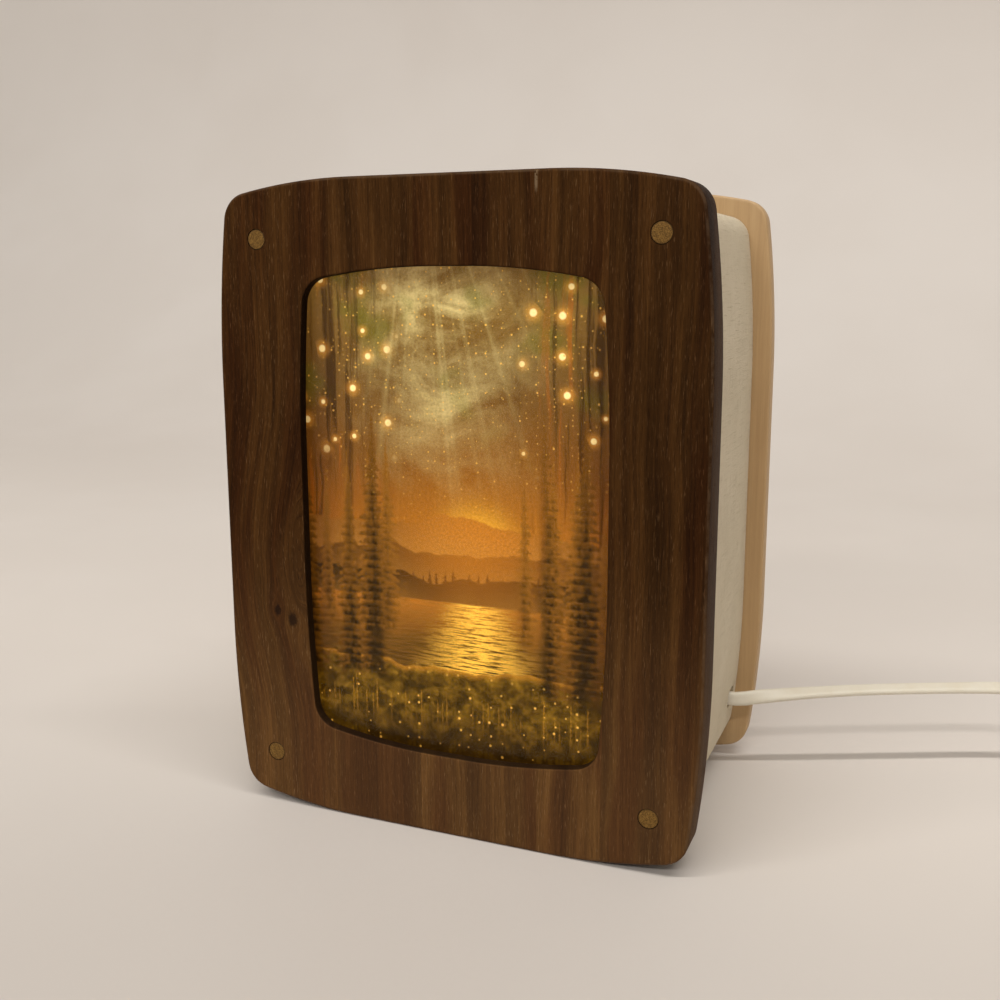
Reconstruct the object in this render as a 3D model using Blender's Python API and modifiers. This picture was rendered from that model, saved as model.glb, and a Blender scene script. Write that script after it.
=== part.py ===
import bpy
import bmesh
import math
import numpy as np
from mathutils import Matrix, Vector

# Wooden postcard lamp. Metres, +Z up, front towards -Y, standing on Z = 0,
# with the origin under the middle of the box.

mm = 0.001

# Running clearance between pieces that touch, and how far a cutter runs past what it cuts
gap = 0.3 * mm
overrun = 2 * mm

# Plates: two bowed boards of one outline, front and back
plate_width = 151 * mm
plate_height = 194 * mm
plate_side_flat = 76 * mm
plate_side_bow = 4.7 * mm
plate_top_flat = 60 * mm
plate_top_bow = 5.95 * mm
plate_corner_radius = 8.5 * mm
front_thickness = 12 * mm
back_thickness = 6.5 * mm
plate_ease = 0.8 * mm
arc_steps = 5

# Light box between the plates
box_depth = 78 * mm
band_inset = 6 * mm
band_wall = 1.6 * mm
band_corner_radius = 8 * mm
ring_thickness = 6 * mm
ring_corner_radius = 6 * mm
ring_border_side = 26 * mm
ring_border_end = 25.5 * mm
ring_opening_corner = 9 * mm

# Window, and the pocket behind its lip that holds the card
window_width = 96 * mm
window_height = 144 * mm
window_side_flat = 32 * mm
window_side_bow = 2.86 * mm
window_top_flat = 10 * mm
window_top_bow = 4.8 * mm
window_corner_radius = 8.2 * mm
window_lip = 3.2 * mm
card_width = 105 * mm
card_height = 148 * mm
card_thickness = 0.4 * mm
card_corner_radius = 2 * mm
pane_thickness = 1.2 * mm
opal_thickness = 2 * mm
retainer_rim = 6 * mm

# Dowels through both plates
dowel_diameter = 6 * mm
dowel_side_margin = 14.5 * mm
dowel_end_margin = 17 * mm

# Lampholder on its bracket
holder_bottom = 38 * mm
holder_diameter = 28 * mm
holder_height = 42 * mm
holder_base = 5 * mm
holder_throat = 19.4 * mm
thread_length = 22 * mm
thread_wall = 0.8 * mm
contact_diameter = 6 * mm
contact_height = 3 * mm
bracket_thickness = 1.5 * mm
bracket_width = 18 * mm
bracket_foot_height = 32 * mm
bracket_nose = 12 * mm
nipple_diameter = 10 * mm
nipple_bore = 7 * mm
nut_width = 14 * mm
nut_height = 3 * mm

# Bulb
cap_diameter = 14 * mm
cap_length = 17 * mm
cap_tip_diameter = 5 * mm
cap_tip_length = 2.4 * mm
bulb_neck_diameter = 17 * mm
bulb_housing_length = 24 * mm
bulb_shoulder_diameter = 38 * mm
bulb_diameter = 45 * mm
bulb_globe_length = 34 * mm

# Screws
screw_diameter = 3 * mm
screw_head_diameter = 5.6 * mm
screw_head_height = 1.6 * mm
bracket_screw_length = 6 * mm
clamp_screw_length = 14 * mm

# Cord: flat, two cores side by side
cord_width = 4.8 * mm
cord_thickness = 2.4 * mm
cord_height = 25.4 * mm
cord_before_back = 11 * mm
cord_slot_length = 9.6 * mm
cord_slot_height = 6.6 * mm
cord_slot_ahead = 3.2 * mm
clamp_length = 8 * mm
clamp_below = 5 * mm
clamp_above = 14 * mm
clamp_front_wall = 3 * mm
clamp_offset = 5.5 * mm
clamp_slot_clearance = 0.4 * mm
cord_entry = 3.8 * mm

# Coil of the stored length, lying on two ties
coil_mid_radius = 27 * mm
coil_pitch = 5.35 * mm
coil_layer_height = 2.95 * mm
coil_layers = 4
coil_turns = 8.25
coil_points_per_turn = 24
coil_past_switch = 47 * mm
coil_ahead_of_switch = 19.5 * mm
coil_start_angle = -math.pi / 2
tie_thickness = 0.7 * mm
tie_width = 6 * mm
tie_angles = (math.radians(135), math.radians(-45))

# Switch on the cord
switch_length = 58 * mm
switch_width = 22 * mm
switch_height = 15 * mm
switch_split = 7 * mm
switch_wall = 1.8 * mm
switch_corner_radius = 7 * mm
switch_past_band = 135.5 * mm
switch_ahead_of_cord = 28.75 * mm
rocker_length = 19 * mm
rocker_width = 9.6 * mm
rocker_rise = 2.4 * mm
rocker_depth = 4 * mm
rocker_axle_diameter = 3 * mm
rocker_axle_drop = 1.6 * mm
rocker_throw = math.radians(20)
rocker_window_clearance = 1.2 * mm
axle_clearance = 0.2 * mm
cheek_thickness = 1.8 * mm
cheek_length = 8 * mm
terminal_length = 8 * mm
terminal_width = 5 * mm
terminal_height = 5 * mm
boss_diameter = 6 * mm

# Plug
plug_length = 36 * mm
plug_width = 35 * mm
plug_thickness = 13.7 * mm
plug_corner_radius = 9 * mm
plug_relief_length = 20 * mm
plug_relief_diameter = 9 * mm
plug_nose = 15 * mm
pin_diameter = 4 * mm
pin_length = 19 * mm
pin_spacing = 18.6 * mm
pin_root = 8 * mm



def bow_radius(length, flat, bow):
    """The radius that brings a side in by its bow, from the end of its flat middle to its corner."""
    reach = (length - flat) / 2
    return (reach * reach + bow * bow) / (2 * bow)


# Worked out from the sizes above
plate_side_radius = bow_radius(plate_height, plate_side_flat, plate_side_bow)
plate_top_radius = bow_radius(plate_width, plate_top_flat, plate_top_bow)
window_side_radius = bow_radius(window_height, window_side_flat, window_side_bow)
window_top_radius = bow_radius(window_width, window_top_flat, window_top_bow)
total_depth = front_thickness + box_depth + back_thickness
front_y = -total_depth / 2
ring_y = front_y + front_thickness
back_y = ring_y + box_depth
rear_y = back_y + back_thickness
middle_z = plate_height / 2
dowel_side = plate_width / 2 - dowel_side_margin
dowel_rise = plate_height / 2 - dowel_end_margin
dowel_places = [(sx * dowel_side, middle_z + sz * dowel_rise) for sz in (1, -1) for sx in (-1, 1)]
ring_opening_width = plate_width - 2 * ring_border_side
ring_opening_height = plate_height - 2 * ring_border_end
pocket_width = card_width + 2 * gap
pocket_height = card_height + 2 * gap
pane_y = front_y + window_lip + gap
card_y = pane_y + pane_thickness + gap
opal_y = card_y + card_thickness + gap
retainer_y = opal_y + opal_thickness + gap
holder_y = (ring_y + back_y) / 2
cord_y = back_y - cord_before_back
band_side_x = plate_width / 2 - band_inset
clamp_high_x = band_side_x - band_wall - clamp_offset
clamp_low_x = clamp_high_x - clamp_length
clamp_middle_x = (clamp_low_x + clamp_high_x) / 2
cord_exit = Vector((band_side_x, cord_y, cord_height))
switch_place = Vector((band_side_x + switch_past_band, cord_y - switch_ahead_of_cord, 0))
coil_centre = switch_place + Vector((coil_past_switch, -coil_ahead_of_switch, 0))

# Shares of the piece that they shape
bracket_screw_shares = (0.4, 0.82)
rocker_profile_shares = ((-0.5, 1.0), (0.0, 0.25), (0.5, 1.0))
globe_profile_shares = ((0.30, 0.98), (0.62, 0.82), (0.86, 0.52))
thread_steps = 4
turn_steps = 28

# Route of the cord from its exit to the switch: place from the exit, and turn about its run
# in degrees. It leaves flat side upright, runs level past the lamp, and comes down.
lead_route = [
    ((6.5, 1.55, 0.4), 62),
    ((14.5, 6.05, 1.0), 12),
    ((25.5, 12.85, 1.3), 8),
    ((39.5, 20.85, 1.4), 30),
    ((54.5, 28.85, 1.2), 45),
    ((69.5, 36.05, 1.0), 48),
    ((83.5, 41.65, 0.7), 45),
    ((96.5, 44.65, -2.0), 38),
    ((109.5, 44.65, -6.8), 28),
    ((121.0, 40.45, -11.8), 18),
    ((129.5, 31.85, -15.4), 8),
    ((134.1, 20.85, -17.6), 2),
]

# Route from the switch towards the coil, with its place from the switch's own
link_route = [
    ((0.2, -39.5, 6.0), 0),
    ((2.2, -47.0, 4.2), 0),
    ((7.4, -53.2, 3.0), 0),
    ((15.0, -56.6, 2.4), 0),
    ((23.6, -56.9, 2.2), 0),
    ((31.0, -54.6, 2.2), 0),
]

# Places in the route lists are counted in this length
route_unit = mm
route_step = 5 * mm


def clear_scene():
    for item in list(bpy.data.objects):
        bpy.data.objects.remove(item, do_unlink=True)


def new_collection(name):
    collection = bpy.data.collections.new(name)
    bpy.context.scene.collection.children.link(collection)
    return collection


def material(name, colour, roughness, metallic=0.0):
    made = bpy.data.materials.new(name)
    made.use_nodes = True
    shader = made.node_tree.nodes["Principled BSDF"]
    shader.inputs["Base Color"].default_value = (*colour, 1.0)
    shader.inputs["Roughness"].default_value = roughness
    shader.inputs["Metallic"].default_value = metallic
    return made


clear_scene()
lamp = new_collection("postcard_lamp")
cutters = new_collection("cutters")

walnut = material("walnut", (0.075, 0.036, 0.018), 0.5)
birch = material("birch", (0.36, 0.22, 0.11), 0.6)
dowel_wood = material("dowel_wood", (0.30, 0.18, 0.08), 0.6)
linen = material("linen_shade", (0.62, 0.56, 0.46), 0.85)
glass = material("clear_acrylic", (0.9, 0.9, 0.88), 0.05)
print_paper = material("card_print", (0.35, 0.17, 0.05), 0.6)
opal = material("opal_acrylic", (0.9, 0.88, 0.8), 0.4)
steel = material("zinc_steel", (0.6, 0.6, 0.6), 0.35, 1.0)
brass = material("brass", (0.75, 0.55, 0.25), 0.3, 1.0)
bulb_white = material("bulb_white", (0.85, 0.84, 0.8), 0.45)
cream_cord = material("cream_cord", (0.68, 0.6, 0.46), 0.5)
cream_plastic = material("cream_plastic", (0.72, 0.66, 0.53), 0.4)


def keep(obj, colour, parent=None):
    """Puts a finished piece in the lamp's collection with its own material."""
    for holder in list(obj.users_collection):
        holder.objects.unlink(obj)
    lamp.objects.link(obj)
    own = colour.copy()
    own.name = obj.name + "_" + colour.name
    obj.data.materials.clear()
    obj.data.materials.append(own)
    if parent:
        obj.parent = parent
    return obj


def as_cutter(obj):
    """Moves an object among the cutters, unseen by the render."""
    for holder in list(obj.users_collection):
        holder.objects.unlink(obj)
    cutters.objects.link(obj)
    obj.hide_render = True
    obj.display_type = "WIRE"
    return obj


def combine(obj, other, operation="DIFFERENCE"):
    """Cuts with, or joins to, another object, and makes the result plain mesh."""
    as_cutter(other)
    change = obj.modifiers.new("combine", "BOOLEAN")
    change.object = other
    change.operation = operation
    bpy.context.view_layer.update()
    evaluated = obj.evaluated_get(bpy.context.evaluated_depsgraph_get())
    result = bpy.data.meshes.new_from_object(evaluated)
    obj.modifiers.clear()
    obj.data = result
    return obj


def ease(obj, width, segments=2, angle=math.radians(35)):
    """Rounds an object's sharp edges and keeps the result as its mesh."""
    bevel = obj.modifiers.new("ease", "BEVEL")
    bevel.width = width
    bevel.segments = segments
    bevel.limit_method = "ANGLE"
    bevel.angle_limit = angle
    bpy.context.view_layer.update()
    evaluated = obj.evaluated_get(bpy.context.evaluated_depsgraph_get())
    result = bpy.data.meshes.new_from_object(evaluated)
    obj.modifiers.clear()
    obj.data = result
    return obj


def arc(centre, radius, start, end, steps):
    """Points along an arc, both ends included."""
    for step in range(steps + 1):
        angle = start + (end - start) * step / steps
        yield (centre[0] + radius * math.cos(angle), centre[1] + radius * math.sin(angle))


def bowed_outline(width, height, side_flat, side_radius, top_flat, top_radius, corner_radius):
    """A rectangle whose sides run straight in the middle and bow in to rounded corners."""
    side = Vector((width / 2 - side_radius, side_flat / 2))
    top = Vector((top_flat / 2, height / 2 - top_radius))
    side_reach = side_radius - corner_radius
    top_reach = top_radius - corner_radius
    across = top - side
    span = across.length
    along = (span * span + side_reach * side_reach - top_reach * top_reach) / (2 * span)
    out = math.sqrt(side_reach * side_reach - along * along)
    unit = across.normalized()
    square = Vector((-unit.y, unit.x))
    corner = max((side + unit * along + square * s * out for s in (1, -1)), key=lambda p: p.x + p.y)
    low = math.atan2(corner.y - side.y, corner.x - side.x)
    high = math.atan2(corner.y - top.y, corner.x - top.x)
    quarter = list(arc(side, side_radius, 0, low, arc_steps))
    quarter += list(arc(corner, corner_radius, low, high, arc_steps))[1:]
    quarter += list(arc(top, top_radius, high, math.pi / 2, arc_steps))[1:]
    left = [(-x, y) for x, y in reversed(quarter)]
    upper = quarter + left
    return upper + [(x, -y) for x, y in reversed(upper)]


def rounded_rectangle(width, height, radius, steps=arc_steps):
    """A rectangle with round corners."""
    points = []
    for quarter, (sx, sy) in enumerate(((1, 1), (-1, 1), (-1, -1), (1, -1))):
        centre = (sx * (width / 2 - radius), sy * (height / 2 - radius))
        start = quarter * math.pi / 2
        points += list(arc(centre, radius, start, start + math.pi / 2, steps))
    return points


def circle_outline(radius, steps=20, centre=(0, 0)):
    """A full circle of points."""
    return list(arc(centre, radius, 0, 2 * math.pi, steps))[:-1]


def mesh_from_curve(curve_object):
    """Makes a plain closed mesh of a curve object, whose caps are loose, in its place."""
    bpy.context.view_layer.update()
    evaluated = curve_object.evaluated_get(bpy.context.evaluated_depsgraph_get())
    mesh = bpy.data.meshes.new_from_object(evaluated)
    form = bmesh.new()
    form.from_mesh(mesh)
    bmesh.ops.remove_doubles(form, verts=form.verts, dist=0.01 * mm)
    bmesh.ops.recalc_face_normals(form, faces=form.faces)
    form.to_mesh(mesh)
    form.free()
    made = bpy.data.objects.new(curve_object.name + "_mesh", mesh)
    made.matrix_world = curve_object.matrix_world
    bpy.context.scene.collection.objects.link(made)
    name = curve_object.name
    bpy.data.objects.remove(curve_object, do_unlink=True)
    made.name = name
    return made


def apply_place(obj):
    """Gives an object's place and turn to its mesh."""
    obj.data.transform(obj.matrix_basis)
    obj.matrix_basis = Matrix.Identity(4)
    return obj


def flat_board(name, outlines, thickness):
    """A flat outline with its holes, drawn as a filled 2D curve and extruded along Z from 0."""
    curve = bpy.data.curves.new(name, "CURVE")
    curve.dimensions = "2D"
    curve.fill_mode = "BOTH"
    curve.extrude = thickness / 2
    for outline in outlines:
        spline = curve.splines.new("POLY")
        spline.points.add(len(outline) - 1)
        spline.points.foreach_set("co", [c for x, y in outline for c in (x, y, 0, 1)])
        spline.use_cyclic_u = True
    obj = bpy.data.objects.new(name, curve)
    bpy.context.scene.collection.objects.link(obj)
    obj.location = (0, 0, thickness / 2)
    return apply_place(mesh_from_curve(obj))


def stand_up(obj, y, z=middle_z):
    """Turns a flat board to stand facing -Y, its lower face at the given depth."""
    obj.matrix_basis = Matrix.Translation((0, y, z)) @ Matrix.Rotation(math.pi / 2, 4, "X") @ Matrix.Scale(
        -1, 4, (0, 0, 1)
    )
    obj.data.transform(obj.matrix_basis)
    obj.matrix_basis = Matrix.Identity(4)
    obj.data.flip_normals()
    return obj


def standing_board(name, outlines, thickness, y, z=middle_z):
    """A board standing across the lamp, from depth y backwards."""
    return stand_up(flat_board(name, outlines, thickness), y, z)


def box(name, low, high):
    """A box between two corners."""
    form = bmesh.new()
    bmesh.ops.create_cube(form, size=1)
    size = Vector(high) - Vector(low)
    middle = (Vector(high) + Vector(low)) / 2
    bmesh.ops.transform(form, matrix=Matrix.Translation(middle) @ Matrix.Diagonal((*size, 1)), verts=form.verts)
    mesh = bpy.data.meshes.new(name)
    form.to_mesh(mesh)
    form.free()
    obj = bpy.data.objects.new(name, mesh)
    bpy.context.scene.collection.objects.link(obj)
    return obj


def rod(name, start, end, radius, sides=20, end_radius=None):
    """A round bar or cone from one point to another."""
    start = Vector(start)
    run = Vector(end) - start
    form = bmesh.new()
    tip = radius if end_radius is None else end_radius
    bmesh.ops.create_cone(
        form, cap_ends=True, segments=sides, radius1=radius, radius2=tip, depth=run.length
    )
    turn = Vector((0, 0, 1)).rotation_difference(run).to_matrix().to_4x4()
    bmesh.ops.transform(form, matrix=Matrix.Translation(start + run / 2) @ turn, verts=form.verts)
    mesh = bpy.data.meshes.new(name)
    form.to_mesh(mesh)
    form.free()
    obj = bpy.data.objects.new(name, mesh)
    bpy.context.scene.collection.objects.link(obj)
    return obj


def turned(name, profile, place, steps=turn_steps):
    """A turned piece from a profile of radius and height that runs down its outer side."""
    mesh = bpy.data.meshes.new(name)
    vertices = [(radius, 0, height) for radius, height in profile]
    mesh.from_pydata(vertices, [(i, i + 1) for i in range(len(vertices) - 1)], [])
    obj = bpy.data.objects.new(name, mesh)
    bpy.context.scene.collection.objects.link(obj)
    screw = obj.modifiers.new("turn", "SCREW")
    screw.axis = "Z"
    screw.steps = steps
    screw.render_steps = steps
    screw.use_merge_vertices = True
    screw.merge_threshold = 0.01 * mm
    bpy.context.view_layer.update()
    evaluated = obj.evaluated_get(bpy.context.evaluated_depsgraph_get())
    result = bpy.data.meshes.new_from_object(evaluated)
    obj.modifiers.clear()
    obj.data = result
    obj.data.transform(Matrix.Translation(place))
    return obj


def route_from(origin, route):
    """A route's own places, set out from where it is counted from."""
    return [(origin + Vector(place) * route_unit, turn) for place, turn in route]


def smooth_route(route, step=route_step):
    """Reads points and turns from a smooth curve through a route's own points."""
    places = [place for place, _ in route]
    turns = [math.radians(turn) for _, turn in route]
    places = [2 * places[0] - places[1], *places, 2 * places[-1] - places[-2]]
    turns = [turns[0], *turns, turns[-1]]
    points = []
    for i in range(1, len(places) - 2):
        pieces = max(1, round((places[i + 1] - places[i]).length / step))
        for k in range(pieces):
            t = k / pieces
            a, b, c, d = places[i - 1 : i + 3]
            spot = b + (c - a) * t / 2 + (2 * a - 5 * b + 4 * c - d) * t * t / 2
            spot = spot + (3 * b - a - 3 * c + d) * t * t * t / 2
            points.append((spot, turns[i] + (turns[i + 1] - turns[i]) * t))
    points.append((places[-2], turns[-2]))
    return points


def flat_cord(name, points):
    """A flat cord along places, each with its turn about the run: one tube with closed ends."""
    section = bpy.data.curves.new(name + "_section", "CURVE")
    section.dimensions = "2D"
    ring = section.splines.new("POLY")
    ring.points.add(7)
    for i, point in enumerate(ring.points):
        angle = (i + 0.5) * math.pi / 4
        stretch = 1 / math.cos(math.pi / 8)
        x = cord_width / 2 * math.cos(angle) * stretch
        y = cord_thickness / 2 * math.sin(angle) * stretch
        point.co = (x, y, 0, 1)
    ring.use_cyclic_u = True
    section_object = as_cutter(bpy.data.objects.new(name + "_section", section))
    curve = bpy.data.curves.new(name, "CURVE")
    curve.dimensions = "3D"
    curve.bevel_mode = "OBJECT"
    curve.bevel_object = section_object
    curve.use_fill_caps = True
    curve.twist_mode = "Z_UP"
    spline = curve.splines.new("POLY")
    spline.points.add(len(points) - 1)
    for point, (spot, turn) in zip(spline.points, points):
        point.co = (*spot, 1)
        point.tilt = turn
    obj = bpy.data.objects.new(name, curve)
    bpy.context.scene.collection.objects.link(obj)
    return mesh_from_curve(obj)


def smoothstep(share):
    """Eases from 0 to 1."""
    share = min(1.0, max(0.0, share))
    return share * share * (3 - 2 * share)


def coil_points():
    """Turns that spiral in and out at a steady rate, and climb a layer where the spiral reverses."""
    turns_per_layer = coil_turns / coil_layers
    swing = coil_pitch * turns_per_layer
    count = round(coil_turns * coil_points_per_turn)
    base = tie_thickness + gap + cord_thickness / 2
    points = []
    for step in range(count + 1):
        turn = coil_turns * step / count
        layer = min(coil_layers - 1, int(turn / turns_per_layer))
        into = turn / turns_per_layer - layer
        inward = into if layer % 2 == 0 else 1 - into
        radius = coil_mid_radius + swing * (1 / 2 - inward)
        climb = sum(
            smoothstep((turn - turns_per_layer * k) / (1 / 2) + 1 / 2) for k in range(1, coil_layers)
        )
        angle = coil_start_angle + turn * 2 * math.pi
        around = Vector((radius * math.cos(angle), radius * math.sin(angle), base + climb * coil_layer_height))
        points.append((coil_centre + around, 0.0))
    for end, inner in ((0, 1), (-1, -2)):
        run = (points[end][0] - points[inner][0]).normalized()
        run.z = 0
        extra = (points[end][0] + run * cord_width, 0.0)
        points = [extra, *points] if end == 0 else [*points, extra]
    return points


def least_gap(obj, rings_apart, sides=8):
    """The least distance between parts of a tube that aren't neighbours, from its points."""
    spots = np.array([v.co for v in obj.data.vertices])
    ring = np.arange(len(spots)) // sides
    least = math.inf
    for i in range(0, len(spots), sides):
        far = np.abs(ring - ring[i]) > rings_apart
        if far.any():
            reach = np.linalg.norm(spots[far][None] - spots[i : i + sides][:, None], axis=2)
            least = min(least, float(reach.min()))
    return least


# Plates and light box

plate_sizes = (
    plate_width,
    plate_height,
    plate_side_flat,
    plate_side_radius,
    plate_top_flat,
    plate_top_radius,
)


def inset_outline(inset, corner_radius):
    """The plates' outline, drawn in on every side."""
    width, height, side_flat, side_radius, top_flat, top_radius = plate_sizes
    return bowed_outline(
        width - 2 * inset,
        height - 2 * inset,
        side_flat,
        side_radius - inset,
        top_flat,
        top_radius - inset,
        corner_radius,
    )


def bore_dowels(obj, start_y, end_y):
    """Bores the four dowel holes through a board."""
    for x, z in dowel_places:
        start = (x, start_y - overrun, z)
        end = (x, end_y + overrun, z)
        combine(obj, rod("dowel_bore", start, end, dowel_diameter / 2 + gap))
    return obj


window_outline = bowed_outline(
    window_width,
    window_height,
    window_side_flat,
    window_side_radius,
    window_top_flat,
    window_top_radius,
    window_corner_radius,
)
plate_outline = inset_outline(0, plate_corner_radius)


def make_front_frame():
    frame = standing_board("front_frame", [plate_outline], front_thickness, front_y)
    ease(frame, plate_ease)
    pocket = rounded_rectangle(pocket_width, pocket_height, card_corner_radius)
    depth = front_thickness - window_lip + overrun
    combine(frame, standing_board("pocket_cut", [pocket], depth, front_y + window_lip))
    opening = standing_board(
        "window_cut", [window_outline], front_thickness + 2 * overrun, front_y - overrun
    )
    combine(frame, opening)
    bore_dowels(frame, front_y, ring_y)
    keep(frame, walnut)


def make_card_stack():
    sheet = rounded_rectangle(card_width, card_height, card_corner_radius)
    keep(standing_board("clear_pane", [sheet], pane_thickness, pane_y), glass)
    keep(standing_board("postcard", [sheet], card_thickness, card_y), print_paper)
    keep(standing_board("opal_sheet", [sheet], opal_thickness, opal_y), opal)
    inner = rounded_rectangle(
        card_width - 2 * retainer_rim, card_height - 2 * retainer_rim, card_corner_radius
    )
    thickness = ring_y - retainer_y
    keep(standing_board("card_retainer", [sheet, inner], thickness, retainer_y), birch)


def make_back_plate():
    plate = standing_board("back_plate", [plate_outline], back_thickness, back_y)
    ease(plate, plate_ease)
    bore_dowels(plate, back_y, rear_y)
    for x, z in bracket_screw_places:
        start = (x, back_y - overrun, z)
        end = (x, back_y + screw_hole_depth, z)
        combine(plate, rod("screw_hole", start, end, screw_diameter / 2 + gap, sides=12))
    keep(plate, birch)


def make_ring(name, y):
    outer = inset_outline(band_inset + band_wall + gap, ring_corner_radius)
    inner = rounded_rectangle(ring_opening_width, ring_opening_height, ring_opening_corner)
    ring = standing_board(name, [outer, inner], ring_thickness, y)
    bore_dowels(ring, y, y + ring_thickness)
    return ring


def make_shade_band():
    outer = inset_outline(band_inset, band_corner_radius)
    inner = inset_outline(band_inset + band_wall, band_corner_radius - band_wall)
    band = standing_board("shade_band", [outer, inner], box_depth - 2 * gap, ring_y + gap)
    slot_outline = rounded_rectangle(cord_slot_height, cord_slot_length, cord_slot_height / 2 - gap)
    slot = flat_board("cord_slot_cut", [slot_outline], band_wall + 2 * overrun)
    slot_y = cord_y - cord_slot_ahead + cord_slot_length / 2
    place = Vector((band_side_x - band_wall - overrun, slot_y, cord_height))
    slot.data.transform(Matrix.Translation(place) @ Matrix.Rotation(math.pi / 2, 4, "Y"))
    combine(band, slot)
    keep(band, linen)


def make_dowels():
    names = ("dowel_upper_left", "dowel_upper_right", "dowel_lower_left", "dowel_lower_right")
    for name, (x, z) in zip(names, dowel_places):
        keep(rod(name, (x, front_y, z), (x, rear_y, z), dowel_diameter / 2), dowel_wood)


# Screws with a low round head, seated on what they hold

screw_hole_depth = bracket_screw_length - bracket_thickness + gap
bracket_z = holder_bottom - gap - bracket_thickness
bracket_screw_places = [
    (0, bracket_z + bracket_foot_height * share) for share in bracket_screw_shares
]


def screw_along_y(name, x, y, z, length):
    """A screw whose head's underside sits in front of depth y, pointing back."""
    start = (x, y - gap - screw_head_height / 2, z)
    shank = rod(name, start, (x, y + length - gap, z), screw_diameter / 2, 12)
    head_front = y - gap - screw_head_height
    head = rod(
        name + "_head",
        (x, head_front, z),
        (x, y - gap, z),
        screw_head_diameter / 2 * 0.7,
        16,
        screw_head_diameter / 2,
    )
    combine(shank, head, "UNION")
    return keep(shank, steel)


# Lampholder, bracket and bulb


def make_bracket():
    plate_face = back_y - gap
    foot = box(
        "holder_bracket",
        (-bracket_width / 2, plate_face - bracket_thickness, bracket_z),
        (bracket_width / 2, plate_face, bracket_z + bracket_foot_height),
    )
    arm = box(
        "bracket_arm",
        (-bracket_width / 2, holder_y - bracket_nose, bracket_z),
        (bracket_width / 2, plate_face, bracket_z + bracket_thickness),
    )
    combine(foot, arm, "UNION")
    hole_low = (0, holder_y, bracket_z - overrun)
    hole_high = (0, holder_y, bracket_z + bracket_thickness + overrun)
    combine(foot, rod("nipple_hole", hole_low, hole_high, nipple_diameter / 2 + gap))
    for x, z in bracket_screw_places:
        start = (x, plate_face - bracket_thickness - overrun, z)
        end = (x, plate_face + overrun, z)
        combine(foot, rod("bracket_hole", start, end, screw_diameter / 2 + gap, 12))
    keep(foot, steel)
    for i, (x, z) in enumerate(bracket_screw_places):
        name = "bracket_screw_%d" % (i + 1)
        screw_along_y(name, x, plate_face - bracket_thickness, z, bracket_screw_length)


def make_lampholder():
    place = Vector((0, holder_y, holder_bottom))
    outer = holder_diameter / 2
    throat = holder_throat / 2
    nipple = nipple_diameter / 2
    bore = nipple_bore / 2
    profile = [
        (nipple + gap, 0),
        (nipple + gap, holder_base),
        (throat, holder_base),
        (throat, holder_height),
        (outer * 0.9, holder_height),
        (outer, holder_height - outer * 0.12),
        (outer, outer * 0.12),
        (outer * 0.9, 0),
        (nipple + gap, 0),
    ]
    keep(turned("lampholder", profile, place), bulb_white)
    low = -gap - bracket_thickness - gap - nut_height - gap
    tube = [
        (bore, low),
        (bore, holder_base - gap),
        (nipple, holder_base - gap),
        (nipple, low),
        (bore, low),
    ]
    keep(turned("holder_nipple", tube, place, 20), steel)
    nut = rod(
        "holder_nut",
        place + Vector((0, 0, low + gap)),
        place + Vector((0, 0, low + gap + nut_height)),
        nut_width / 2 / math.cos(math.pi / 6),
        6,
    )
    nut_cut = rod(
        "nut_cut",
        place + Vector((0, 0, low - overrun)),
        place + Vector((0, 0, low + nut_height + overrun)),
        nipple + gap,
    )
    combine(nut, nut_cut)
    keep(nut, steel)
    top = holder_height - (holder_diameter - holder_throat) / 2
    thread_outer = throat - gap
    thread_inner = thread_outer - thread_wall
    shell = [
        (thread_inner, top - thread_length),
        (thread_inner, top),
        (thread_outer, top),
        (thread_outer, top - thread_length),
        (thread_inner, top - thread_length),
    ]
    keep(turned("lampholder_thread", shell, place), brass)
    contact_low = holder_base + gap
    contact_top = top - cap_length - cap_tip_length - gap
    stem = contact_diameter / 2
    contact = [
        (0, contact_top),
        (stem / 2, contact_top),
        (stem / 2, contact_low + contact_height),
        (throat - gap, contact_low + contact_height),
        (throat - gap, contact_low),
        (0, contact_low),
    ]
    keep(turned("lampholder_contact", contact, place, 20), brass)
    return place + Vector((0, 0, top)), thread_inner


def make_bulb(seat, thread_inner):
    """The cap stands in the thread shell, with the housing and the globe above it."""
    cap = min(cap_diameter / 2, thread_inner - gap)
    tip = cap_tip_diameter / 2
    ridge = cap * 0.06
    profile = [(0, 0), (cap, 0)]
    for i in range(thread_steps):
        low = cap_length * (i + 0.5) / (thread_steps + 0.5)
        profile += [(cap - ridge, -low), (cap, -low - cap_length / (thread_steps + 0.5) / 2)]
    profile += [(tip, -cap_length), (tip, -cap_length - cap_tip_length), (0, -cap_length - cap_tip_length)]
    keep(turned("bulb_cap", profile, seat), steel)
    base = seat + Vector((0, 0, gap))
    length = bulb_housing_length
    neck = bulb_neck_diameter / 2
    shoulder = bulb_shoulder_diameter / 2
    housing = [
        (0, length),
        (shoulder, length),
        (shoulder * 0.97, length * 0.8),
        (neck * 1.25, length * 0.3),
        (neck, length * 0.12),
        (neck, 0),
        (0, 0),
    ]
    keep(turned("bulb_housing", housing, base), bulb_white)
    top = base + Vector((0, 0, length + gap))
    globe_radius = bulb_diameter / 2
    tall = bulb_globe_length
    globe = [(0, tall)]
    for across, up in reversed(globe_profile_shares):
        globe.append((globe_radius * across, tall * (0.36 + 0.64 * up)))
    globe = [(0, tall)] + sorted(globe[1:], key=lambda spot: spot[0])
    globe += [
        (globe_radius, tall * 0.42),
        (globe_radius * 0.985, tall * 0.24),
        (shoulder, 0),
        (0, 0),
    ]
    keep(turned("bulb_globe", globe, top), opal)


# Cord, its clamp and its coil


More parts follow.
